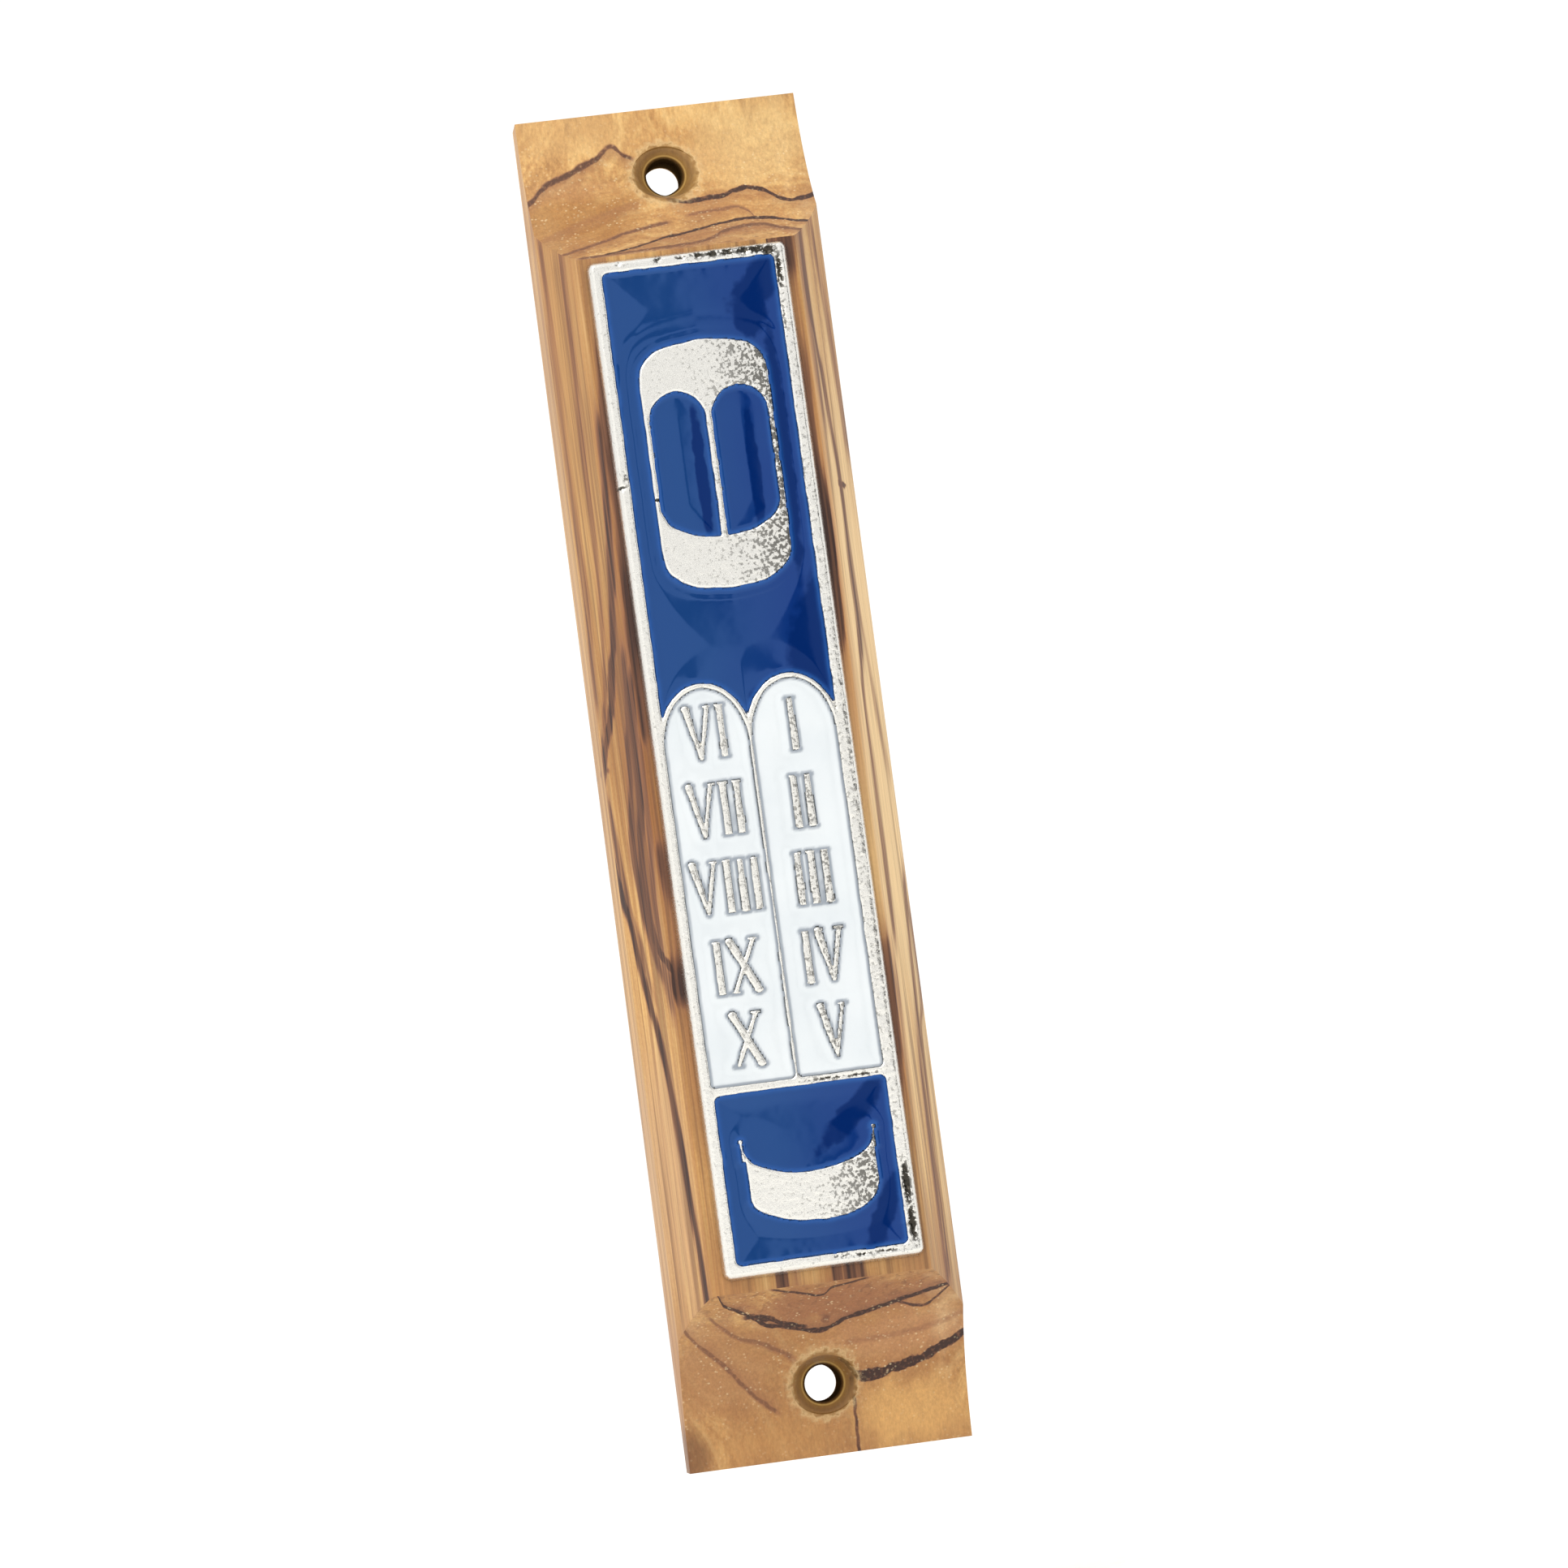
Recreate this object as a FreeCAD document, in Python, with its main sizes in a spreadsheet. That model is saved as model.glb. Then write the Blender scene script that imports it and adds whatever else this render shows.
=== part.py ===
import FreeCAD, Part
import Sketcher
import math
import os

# A mezuzah case: a block of olive wood with an enamelled metal plaque on its front and, in a pocket cut from
# its back, a rolled parchment behind a thin cover.
#
# Frame: the case as it hangs on a doorpost. X runs across it, Z runs up along it, and the wall is at Y = 0
# with the front facing -Y. The origin is the centre of the back face. Sizes are in millimetres and degrees.

SIZES = {
    # Wood block. Each end is a thin tab. A concave cove rises from the tab's edge to the raised front face.
    "body_length": 120.0,
    "body_width": 25.0,
    "body_thickness": 16.3,
    "upper_tab_length": 14.7,
    "lower_tab_length": 15.15,
    "tab_end_thickness": 4.0,
    "cove_radius": 19.0,
    "bevel_width": 3.0,
    "bevel_height": 6.0,
    # Countersunk screw holes, one in each tab. The countersink is square to the sloping wood.
    "screw_inset": 6.3,
    "screw_hole_diameter": 3.2,
    "countersink_diameter": 5.9,
    "countersink_tip_depth": 2.95,
    "countersink_overshoot": 2.0,
    # Rolled parchment and the clear film round it.
    "scroll_length": 70.0,
    "scroll_diameter": 8.4,
    "scroll_core_diameter": 2.4,
    "wrap_wall": 0.2,
    "wrap_clearance": 0.05,
    "wrap_overhang": 1.0,
    # Pocket for the parchment, and the cover that closes it.
    "pocket_side_clearance": 0.75,
    "pocket_end_clearance": 5.2,
    "pocket_floor_clearance": 0.55,
    "scroll_cover_clearance": 0.35,
    "cover_ledge": 2.1,
    "cover_thickness": 1.6,
    "cover_corner_radius": 3.0,
    "cover_clearance": 0.2,
    "cover_recess": 0.2,
    "finger_notch_radius": 3.2,
    "finger_notch_depth": 2.6,
    # Plaque: how far its edges stay inside the raised face, and how it was glued down by hand.
    "plaque_side_margin": 0.75,
    "plaque_end_margin": 0.775,
    "plaque_shift_x": 0.1,
    "plaque_shift_up": 0.375,
    "plaque_lean": -0.29,
    "plaque_thickness": 1.15,
    "plaque_corner_radius": 0.7,
    "plaque_draft": 17.0,
    "glue_thickness": 0.15,
    "glue_margin": 0.9,
    # Relief on the plaque. Its raised lines all reach the same height.
    "recess_depth": 0.65,
    "blue_enamel_thickness": 0.42,
    "white_enamel_thickness": 0.5,
    "rim_width": 1.3,
    "lower_field_height": 14.3,
    "bar_width": 0.9,
    "divider_width": 0.5,
    "tablet_height": 34.1,
    "arch_line_width": 0.65,
    # Arched window emblem in the upper field.
    "emblem_top_gap": 6.35,
    "emblem_width": 11.5,
    "emblem_height": 22.05,
    "crown_rise": 2.45,
    "crown_thickness": 4.75,
    "base_drop": 2.4,
    "base_thickness": 4.75,
    "base_dip": 1.85,
    "side_bar_width": 0.7,
    "middle_bar_width": 0.8,
    # Crescent in the lower field.
    "crescent_top_gap": 4.0,
    "crescent_width": 11.5,
    "crescent_height": 7.5,
    "crescent_drop": 2.6,
    "crescent_thickness": 4.45,
    "horn_width": 0.35,
    # Roman numerals on the tablets.
    "numeral_height": 4.4,
    "numeral_stroke": 0.7,
    "numeral_gap": 0.38,
    "numeral_v_width": 2.3,
    "numeral_x_width": 2.7,
    "numeral_foot_width": 0.55,
    "numeral_end_margin": 3.75,
}
RIGHT_TABLET_NUMERALS = ("I", "II", "III", "IV", "V")
LEFT_TABLET_NUMERALS = ("VI", "VII", "VIII", "IX", "X")

doc = FreeCAD.newDocument("mezuzah_case")
sheet = doc.addObject("Spreadsheet::Sheet", "sizes")
for row, (alias, number) in enumerate(SIZES.items(), 1):
    sheet.set(f"A{row}", alias)
    sheet.set(f"B{row}", str(number))
    sheet.setAlias(f"B{row}", alias)
doc.recompute()


# ---- Sizes that are both numbers and spreadsheet expressions ----


class Size:
    """A size kept both as its number and as the expression of sheet cells that gives it."""

    def __init__(self, number, text):
        self.number = number
        self.text = text

    def __add__(self, other):
        other = as_size(other)
        return Size(self.number + other.number, f"({self.text} + {other.text})")

    def __sub__(self, other):
        other = as_size(other)
        return Size(self.number - other.number, f"({self.text} - {other.text})")

    def __mul__(self, other):
        other = as_size(other)
        return Size(self.number * other.number, f"({self.text} * {other.text})")

    def __truediv__(self, other):
        other = as_size(other)
        return Size(self.number / other.number, f"({self.text} / {other.text})")

    def __neg__(self):
        return Size(-self.number, f"(0 - {self.text})")

    def root(self):
        return Size(math.sqrt(self.number), f"sqrt({self.text})")


def as_size(value):
    return value if isinstance(value, Size) else Size(float(value), repr(float(value)))


def size(alias):
    return Size(SIZES[alias], f"sizes.{alias}")


def bind(target, property_path, value):
    target.setExpression(property_path, as_size(value).text)


def circle_radius(half_chord, rise):
    """The radius of an arc over a chord, from half the chord and the arc's rise."""
    return (half_chord * half_chord + rise * rise) / (rise * 2)


ZERO = as_size(0)

# Wood
half_length = size("body_length") / 2
half_width = size("body_width") / 2
thickness = size("body_thickness")
face_top = half_length - size("upper_tab_length")
face_bottom = size("lower_tab_length") - half_length
face_ends = {1: face_top, -1: face_bottom}
screw_height = half_length - size("screw_inset")
screw_radius = size("screw_hole_diameter") / 2

# Scroll, pocket and cover
scroll_outer = size("scroll_diameter")
scroll_inner = size("scroll_core_diameter")
scroll_length = size("scroll_length")
wrap_inner = scroll_outer + size("wrap_clearance") * 2
wrap_outer = wrap_inner + size("wrap_wall") * 2
wrap_length = scroll_length + size("wrap_overhang") * 2
pocket_width = wrap_outer + size("pocket_side_clearance") * 2
pocket_length = wrap_length + size("pocket_end_clearance") * 2
rabbet_depth = size("cover_thickness") + size("cover_recess")
scroll_depth = rabbet_depth + size("scroll_cover_clearance") + wrap_outer / 2
pocket_depth = scroll_depth + wrap_outer / 2 + size("pocket_floor_clearance")
rabbet_width = pocket_width + size("cover_ledge") * 2
rabbet_length = pocket_length + size("cover_ledge") * 2
cover_width = rabbet_width - size("cover_clearance") * 2
cover_length = rabbet_length - size("cover_clearance") * 2
cover_corner = size("cover_corner_radius")
rabbet_corner = cover_corner + size("cover_clearance")

# Plaque. Its own X and Z are measured from its centre.
plaque_half_width = half_width - size("bevel_width") - size("plaque_side_margin")
plaque_half_length = (face_top - face_bottom) / 2 - size("plaque_end_margin")
plaque_height = (face_top + face_bottom) / 2 + size("plaque_shift_up")
field_half_width = plaque_half_width - size("rim_width")
field_top = plaque_half_length - size("rim_width")
lower_field_bottom = -field_top
lower_field_top = lower_field_bottom + size("lower_field_height")
tablet_bottom = lower_field_top + size("bar_width")
tablet_top = tablet_bottom + size("tablet_height")
tablet_inner_x = size("divider_width") / 2
tablet_radius = (field_half_width - tablet_inner_x) / 2
tablet_middle_x = (field_half_width + tablet_inner_x) / 2
tablet_spring = tablet_top - tablet_radius
recess_floor = size("plaque_thickness") - size("recess_depth")

# Emblem
emblem_half = size("emblem_width") / 2
emblem_top = field_top - size("emblem_top_gap")
emblem_bottom = emblem_top - size("emblem_height")
emblem_inner_half = emblem_half - size("side_bar_width")
window_inner_x = size("middle_bar_width") / 2
window_radius = (emblem_inner_half - window_inner_x) / 2
window_spring = emblem_top - size("crown_thickness") - window_radius
base_inner_radius = circle_radius(emblem_inner_half, size("base_dip"))
base_inner_centre = emblem_bottom + size("base_thickness") + base_inner_radius

# Crescent
crescent_half = size("crescent_width") / 2
crescent_top = lower_field_top - size("crescent_top_gap")
crescent_bottom = crescent_top - size("crescent_height")
crescent_inner_half = crescent_half - size("horn_width")
crescent_inner_bottom = crescent_bottom + size("crescent_thickness")


# ---- Drawing and feature helpers ----


class Arc:
    """An arc to the next corner: turn is 1 for counterclockwise, -1 for clockwise.

    No radius means a half circle.
    """

    def __init__(self, turn, radius=None):
        self.turn = turn
        self.radius = radius


def new_body(name):
    body = doc.addObject("PartDesign::Body", name)
    body.Label = name
    return body


def new_sketch(body, name, plane, offset=None):
    """A sketch on one of its body's own planes, moved along the plane's normal by offset."""
    sketch = body.newObject("Sketcher::SketchObject", f"{body.Label}_{name}")
    support = next(item for item in body.Origin.OriginFeatures if item.Role == plane)
    sketch.AttachmentSupport = [(support, "")]
    sketch.MapMode = "FlatFace"
    if offset is not None:
        bind(sketch, "AttachmentOffset.Base.z", offset)
    return sketch


def constrain(sketch, kind, *arguments, value):
    index = sketch.addConstraint(Sketcher.Constraint(kind, *arguments, value.number))
    bind(sketch, f"Constraints[{index}]", value)


def lock_point(sketch, edge, end, x, y):
    constrain(sketch, "DistanceX", -1, 1, edge, end, value=x)
    constrain(sketch, "DistanceY", -1, 1, edge, end, value=y)


def arc_centre(start, finish, arc):
    """The centre of the arc between two corners, as sizes."""
    middle = [(a + b) / 2 for a, b in zip(start, finish)]
    if arc.radius is None:
        return middle
    across, along = [b - a for a, b in zip(start, finish)]
    chord_squared = across * across + along * along
    reach = (arc.radius * arc.radius / chord_squared - 0.25).root() * arc.turn
    return [middle[0] - along * reach, middle[1] + across * reach]


def draw_arc(sketch, start, finish, arc):
    """Adds an arc of a circle and holds its centre. Gives the edge and which of its ends is its start."""
    centre = arc_centre(start, finish, arc)
    x, y = (part.number for part in centre)
    first, last = (start, finish) if arc.turn > 0 else (finish, start)
    low = math.atan2(first[1].number - y, first[0].number - x)
    high = math.atan2(last[1].number - y, last[0].number - x)
    if high <= low:
        high += 2 * math.pi
    radius = math.hypot(first[0].number - x, first[1].number - y)
    circle = Part.Circle(FreeCAD.Vector(x, y, 0), FreeCAD.Vector(0, 0, 1), radius)
    edge = sketch.addGeometry(Part.ArcOfCircle(circle, low, high), False)
    level_chord = abs(start[0].number - finish[0].number) >= abs(start[1].number - finish[1].number)
    if level_chord:
        constrain(sketch, "DistanceY", -1, 1, edge, 3, value=centre[1])
    else:
        constrain(sketch, "DistanceX", -1, 1, edge, 3, value=centre[0])
    return edge, (1 if arc.turn > 0 else 2)


def draw_loop(sketch, corners):
    """A closed outline. A corner is (x, y), or (x, y, Arc) where an arc leads to the next corner."""
    points = [tuple(as_size(value) for value in corner[:2]) for corner in corners]
    edges = []
    for place, corner in enumerate(corners):
        start = points[place]
        finish = points[(place + 1) % len(points)]
        if len(corner) == 3:
            edge, start_end = draw_arc(sketch, start, finish, corner[2])
        else:
            ends = [FreeCAD.Vector(x.number, y.number, 0) for x, y in (start, finish)]
            edge = sketch.addGeometry(Part.LineSegment(*ends), False)
            start_end = 1
        lock_point(sketch, edge, start_end, *start)
        edges.append((edge, start_end))
    for place, (edge, start_end) in enumerate(edges):
        next_edge, next_start = edges[(place + 1) % len(edges)]
        sketch.addConstraint(Sketcher.Constraint("Coincident", edge, 3 - start_end, next_edge, next_start))


def draw_circle(sketch, x, y, radius):
    centre = FreeCAD.Vector(as_size(x).number, as_size(y).number, 0)
    edge = sketch.addGeometry(Part.Circle(centre, FreeCAD.Vector(0, 0, 1), radius.number), False)
    lock_point(sketch, edge, 3, as_size(x), as_size(y))
    constrain(sketch, "Radius", edge, value=radius)


def rounded_rectangle(sketch, half_x, half_y, radius):
    """A rectangle about the origin with rounded corners."""
    turn = Arc(1, radius)
    in_x = half_x - radius
    in_y = half_y - radius
    corners = [
        (-in_x, -half_y),
        (in_x, -half_y, turn),
        (half_x, -in_y),
        (half_x, in_y, turn),
        (in_x, half_y),
        (-in_x, half_y, turn),
        (-half_x, in_y),
        (-half_x, -in_y, turn),
    ]
    draw_loop(sketch, corners)


def recompute_volume(body):
    doc.recompute()
    if body.Shape.isNull() or not body.Shape.isValid():
        raise RuntimeError(f"{body.Label}: the last feature left no valid solid")
    return body.Shape.Volume


def pad(body, sketch, length, name, both_ways=False, draft=None):
    """Adds material along the sketch's normal, or half of it each way."""
    feature = body.newObject("PartDesign::Pad", f"{body.Label}_{name}")
    feature.Profile = sketch
    bind(feature, "Length", length)
    if both_ways:
        feature.SideType = "Symmetric"
    if draft is not None:
        bind(feature, "TaperAngle", -draft)
    recompute_volume(body)
    return feature


def cut(body, kind, sketch, name, **settings):
    """Removes material with a Pocket or a Groove, and makes sure that it removed some."""
    before = recompute_volume(body)
    feature = body.newObject(f"PartDesign::{kind}", f"{body.Label}_{name}")
    feature.Profile = sketch
    for key, value in settings.items():
        if isinstance(value, Size):
            bind(feature, key, value)
        else:
            setattr(feature, key, value)
    after = recompute_volume(body)
    if after > before - 1e-4:
        raise RuntimeError(f"{feature.Name} cut nothing")
    return feature


# ---- Wood body ----


def cove_centre(end):
    """Centre of the cove's circle in Y and Z at one end (1 top, -1 bottom). It lies in front of the wood."""
    tab_edge = (-size("tab_end_thickness"), half_length * end)
    face_edge = (-thickness, face_ends[end])
    return arc_centre(tab_edge, face_edge, Arc(-end, size("cove_radius")))


def draw_side_profile(sketch):
    cove = size("cove_radius")
    tab = -size("tab_end_thickness")
    corners = [
        (ZERO, -half_length),
        (ZERO, half_length),
        (tab, half_length, Arc(-1, cove)),
        (-thickness, face_top),
        (-thickness, face_bottom, Arc(-1, cove)),
        (tab, -half_length),
    ]
    draw_loop(sketch, corners)


def draw_bevel(sketch, side):
    """The corner that the bevel takes off one long side of the raised face."""
    edge = half_width * side
    inner = (half_width - size("bevel_width")) * side
    lower = size("bevel_height") - thickness
    draw_loop(sketch, [(edge, lower), (edge, -thickness), (inner, -thickness)])


def draw_countersink(sketch, end):
    """Half of the countersink's section, with its axis as construction line, square to the cove's surface."""
    height = screw_height * end
    centre_y, centre_z = cove_centre(end)
    drop = height - centre_z
    cove = size("cove_radius")
    surface_y = centre_y + (cove * cove - drop * drop).root()
    out_y = (centre_y - surface_y) / cove
    out_z = (centre_z - height) / cove
    radius = size("countersink_diameter") / 2
    tip_depth = size("countersink_tip_depth")
    over = size("countersink_overshoot")

    def place(outward, sideways):
        return (
            surface_y + out_y * outward - out_z * sideways,
            height + out_z * outward + out_y * sideways,
        )

    tip = place(-tip_depth, ZERO)
    top = place(over, ZERO)
    draw_loop(sketch, [tip, place(ZERO, radius), place(over, radius), top])
    ends = [FreeCAD.Vector(y.number, z.number, 0) for y, z in (tip, top)]
    axis = sketch.addGeometry(Part.LineSegment(*ends), True)
    lock_point(sketch, axis, 1, *tip)
    lock_point(sketch, axis, 2, *top)


def draw_pocket(sketch):
    """The scroll pocket's outline: a slot with round ends, as a round cutter leaves it."""
    half = pocket_width / 2
    straight = pocket_length / 2 - half
    corners = [
        (half, -straight),
        (half, straight, Arc(1)),
        (-half, straight),
        (-half, -straight, Arc(1)),
    ]
    draw_loop(sketch, corners)


def make_wood_body():
    body = new_body("wood_body")
    profile = new_sketch(body, "profile", "YZ_Plane")
    draw_side_profile(profile)
    pad(body, profile, half_width * 2, "block", both_ways=True)

    bevels = new_sketch(body, "bevel_corners", "XY_Plane")
    for side in (-1, 1):
        draw_bevel(bevels, side)
    cut(body, "Pocket", bevels, "bevels", Length=half_length * 2, SideType="Symmetric")

    holes = new_sketch(body, "hole_circles", "XZ_Plane")
    for end in (-1, 1):
        draw_circle(holes, ZERO, screw_height * end, screw_radius)
    cut(body, "Pocket", holes, "screw_holes", Length=thickness, Reversed=True)

    for end, name in ((1, "top"), (-1, "bottom")):
        cone = new_sketch(body, f"{name}_cone", "YZ_Plane")
        draw_countersink(cone, end)
        cut(body, "Groove", cone, f"{name}_countersink", ReferenceAxis=(cone, ["Axis0"]), Angle=360)

    rabbet = new_sketch(body, "rabbet_outline", "XZ_Plane")
    rounded_rectangle(rabbet, rabbet_width / 2, rabbet_length / 2, rabbet_corner)
    cut(body, "Pocket", rabbet, "rabbet", Length=rabbet_depth, Reversed=True)

    notch = new_sketch(body, "notch_circle", "XZ_Plane")
    draw_circle(notch, ZERO, rabbet_length / 2, size("finger_notch_radius"))
    cut(body, "Pocket", notch, "finger_notch", Length=size("finger_notch_depth"), Reversed=True)

    pocket = new_sketch(body, "pocket_outline", "XZ_Plane")
    draw_pocket(pocket)
    cut(body, "Pocket", pocket, "scroll_pocket", Length=pocket_depth, Reversed=True)
    return body


# ---- Scroll, its wrap and the back cover ----


def make_tube(name, outer, inner, length):
    """A tube along the case, at the depth where the scroll lies."""
    body = new_body(name)
    section = new_sketch(body, "section", "XY_Plane")
    draw_circle(section, ZERO, ZERO, outer / 2)
    draw_circle(section, ZERO, ZERO, inner / 2)
    pad(body, section, length, "tube", both_ways=True)
    bind(body, "Placement.Base.y", -scroll_depth)
    return body


def make_back_cover():
    body = new_body("back_cover")
    outline = new_sketch(body, "outline", "XZ_Plane", size("cover_recess"))
    rounded_rectangle(outline, cover_width / 2, cover_length / 2, cover_corner)
    pad(body, outline, size("cover_thickness"), "strip")
    return body


# ---- Plaque: outlines that the metal and its enamels share ----


def draw_upper_field(sketch):
    """The upper field. Its lower edge follows the tops of both tablet arches."""
    outer = tablet_radius + size("arch_line_width")
    side_reach = field_half_width - tablet_middle_x
    side_z = tablet_spring + (outer * outer - side_reach * side_reach).root()
    middle_z = tablet_spring + (outer * outer - tablet_middle_x * tablet_middle_x).root()
    corners = [
        (field_half_width, field_top),
        (-field_half_width, field_top),
        (-field_half_width, side_z, Arc(-1, outer)),
        (ZERO, middle_z, Arc(-1, outer)),
        (field_half_width, side_z),
    ]
    draw_loop(sketch, corners)


def draw_lower_field(sketch):
    corners = [
        (-field_half_width, lower_field_bottom),
        (field_half_width, lower_field_bottom),
        (field_half_width, lower_field_top),
        (-field_half_width, lower_field_top),
    ]
    draw_loop(sketch, corners)


def draw_tablet(sketch, side):
    """A round-topped tablet: side is 1 for the right one, -1 for the left one."""
    near = tablet_inner_x * side
    far = field_half_width * side
    corners = [
        (near, tablet_bottom),
        (far, tablet_bottom),
        (far, tablet_spring, Arc(side)),
        (near, tablet_spring),
    ]
    draw_loop(sketch, corners)


def draw_emblem(sketch):
    """The emblem's outer edge: straight sides under a shallow arch, over a shallow bowl."""
    shoulder = emblem_top - size("crown_rise")
    foot = emblem_bottom + size("base_drop")
    crown = Arc(1, circle_radius(emblem_half, size("crown_rise")))
    base = Arc(1, circle_radius(emblem_half, size("base_drop")))
    corners = [
        (-emblem_half, foot, base),
        (emblem_half, foot),
        (emblem_half, shoulder, crown),
        (-emblem_half, shoulder),
    ]
    draw_loop(sketch, corners)


def draw_window(sketch, side):
    """One round-headed window of the emblem. Its sill follows the bowl."""
    near = window_inner_x * side
    far = emblem_inner_half * side

    def sill(x):
        return base_inner_centre - (base_inner_radius * base_inner_radius - x * x).root()

    corners = [
        (near, sill(near), Arc(side, base_inner_radius)),
        (far, sill(far)),
        (far, window_spring, Arc(side)),
        (near, window_spring),
    ]
    draw_loop(sketch, corners)


def draw_crescent(sketch):
    """A bowl-shaped crescent with two narrow upright horns."""
    foot = crescent_bottom + size("crescent_drop")
    outer = Arc(1, circle_radius(crescent_half, size("crescent_drop")))
    inner = Arc(-1, circle_radius(crescent_inner_half, crescent_top - crescent_inner_bottom))
    corners = [
        (-crescent_half, foot, outer),
        (crescent_half, foot),
        (crescent_half, crescent_top),
        (crescent_inner_half, crescent_top, inner),
        (-crescent_inner_half, crescent_top),
        (-crescent_half, crescent_top),
    ]
    draw_loop(sketch, corners)


def numeral_i(x, z):
    half = size("numeral_stroke") / 2
    up = size("numeral_height") / 2
    return [(x - half, z - up), (x + half, z - up), (x + half, z + up), (x - half, z + up)]


def numeral_v(x, z):
    half = size("numeral_v_width") / 2
    up = size("numeral_height") / 2
    foot = size("numeral_foot_width") / 2
    inner = half - size("numeral_stroke")
    notch = z + up - inner * size("numeral_height") / (half - foot)
    return [
        (x - half, z + up),
        (x - foot, z - up),
        (x + foot, z - up),
        (x + half, z + up),
        (x + inner, z + up),
        (x, notch),
        (x - inner, z + up),
    ]


def numeral_x(x, z):
    half = size("numeral_x_width") / 2
    up = size("numeral_height") / 2
    stroke = size("numeral_stroke")
    inner = half - stroke
    crotch = up - inner * size("numeral_height") / (half * 2 - stroke)
    waist = stroke / 2
    quarter = [(-half, up), (-inner, up), (ZERO, crotch), (inner, up), (half, up), (waist, ZERO)]
    lower = [(-across, -rise) for across, rise in quarter]
    return [(x + across, z + rise) for across, rise in quarter + lower]


NUMERAL_SHAPES = {
    "I": (numeral_i, size("numeral_stroke")),
    "V": (numeral_v, size("numeral_v_width")),
    "X": (numeral_x, size("numeral_x_width")),
}


def draw_numerals(sketch, side, rows):
    """Five rows of Roman numerals down the middle of one tablet, evenly spaced."""
    pitch = (size("tablet_height") - size("numeral_end_margin") * 2) / (len(rows) - 1)
    first_z = tablet_top - size("numeral_end_margin")
    for place, letters in enumerate(rows):
        z = first_z - pitch * place
        widths = [NUMERAL_SHAPES[letter][1] for letter in letters]
        total = size("numeral_gap") * (len(letters) - 1)
        for width in widths:
            total = total + width
        left = tablet_middle_x * side - total / 2
        for letter, width in zip(letters, widths):
            draw_loop(sketch, NUMERAL_SHAPES[letter][0](left + width / 2, z))
            left = left + width + size("numeral_gap")


# ---- Plaque pieces ----


def seat_on_face(body, extra_depth):
    """Places a piece of the plaque before the raised face's middle, with the plaque's own shift and lean."""
    body.Placement = FreeCAD.Placement(FreeCAD.Vector(), FreeCAD.Rotation(FreeCAD.Vector(0, 1, 0), 1))
    bind(body, "Placement.Base.x", size("plaque_shift_x"))
    bind(body, "Placement.Base.y", -(thickness + extra_depth))
    bind(body, "Placement.Base.z", plaque_height)
    bind(body, "Placement.Rotation.Angle", size("plaque_lean"))


def make_metal_plaque():
    body = new_body("metal_plaque")
    outline = new_sketch(body, "outline", "XZ_Plane")
    rounded_rectangle(outline, plaque_half_width, plaque_half_length, size("plaque_corner_radius"))
    pad(body, outline, size("plaque_thickness"), "plate", draft=size("plaque_draft"))

    fields = new_sketch(body, "field_outlines", "XZ_Plane", size("plaque_thickness"))
    draw_upper_field(fields)
    draw_lower_field(fields)
    for side in (-1, 1):
        draw_tablet(fields, side)
    cut(body, "Pocket", fields, "recesses", Length=size("recess_depth"))

    raised = new_sketch(body, "raised_outlines", "XZ_Plane", recess_floor)
    draw_emblem(raised)
    for side in (-1, 1):
        draw_window(raised, side)
    draw_crescent(raised)
    draw_numerals(raised, 1, RIGHT_TABLET_NUMERALS)
    draw_numerals(raised, -1, LEFT_TABLET_NUMERALS)
    pad(body, raised, size("recess_depth"), "raised_shapes")
    seat_on_face(body, size("glue_thickness"))
    return body


def make_enamel(name, depth, *drawings):
    """A layer of enamel on the recess floor: the first drawing is its edge, the rest is metal inside it."""
    body = new_body(name)
    outline = new_sketch(body, "outline", "XZ_Plane", recess_floor)
    for draw, *arguments in drawings:
        draw(outline, *arguments)
    pad(body, outline, depth, "layer")
    seat_on_face(body, size("glue_thickness"))
    return body


def make_plaque_adhesive():
    body = new_body("plaque_adhesive")
    outline = new_sketch(body, "outline", "XZ_Plane")
    half_x = plaque_half_width - size("glue_margin")
    half_z = plaque_half_length - size("glue_margin")
    rounded_rectangle(outline, half_x, half_z, size("plaque_corner_radius"))
    pad(body, outline, size("glue_thickness"), "film")
    seat_on_face(body, ZERO)
    return body


# ---- Assembly ----

blue = size("blue_enamel_thickness")
white = size("white_enamel_thickness")
pieces = [
    make_wood_body(),
    make_tube("parchment_scroll", scroll_outer, scroll_inner, scroll_length),
    make_tube("scroll_wrap", wrap_outer, wrap_inner, wrap_length),
    make_back_cover(),
    make_plaque_adhesive(),
    make_metal_plaque(),
    make_enamel("enamel_blue_upper", blue, (draw_upper_field,), (draw_emblem,)),
    make_enamel("enamel_blue_emblem_left", blue, (draw_window, -1)),
    make_enamel("enamel_blue_emblem_right", blue, (draw_window, 1)),
    make_enamel("enamel_white_left", white, (draw_tablet, -1), (draw_numerals, -1, LEFT_TABLET_NUMERALS)),
    make_enamel("enamel_white_right", white, (draw_tablet, 1), (draw_numerals, 1, RIGHT_TABLET_NUMERALS)),
    make_enamel("enamel_blue_lower", blue, (draw_lower_field,), (draw_crescent,)),
]
doc.recompute()

for item in doc.Objects:
    if "Invalid" in item.State or "Error" in item.State:
        raise RuntimeError(f"{item.Label} failed: {item.State}")
for piece in pieces:
    if piece.Shape.isNull() or not piece.Shape.isValid() or len(piece.Shape.Solids) != 1:
        raise RuntimeError(f"{piece.Label} is not one valid solid")

os.makedirs("parts", exist_ok=True)
for piece in pieces:
    piece.Shape.exportStep(f"parts/{piece.Label}.step")
    box = piece.Shape.BoundBox
    lengths = f"{box.XLength:.2f} x {box.YLength:.2f} x {box.ZLength:.2f} mm"
    print(f"{piece.Label}: {piece.Shape.Volume:.1f} mm3, {lengths}")
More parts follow.
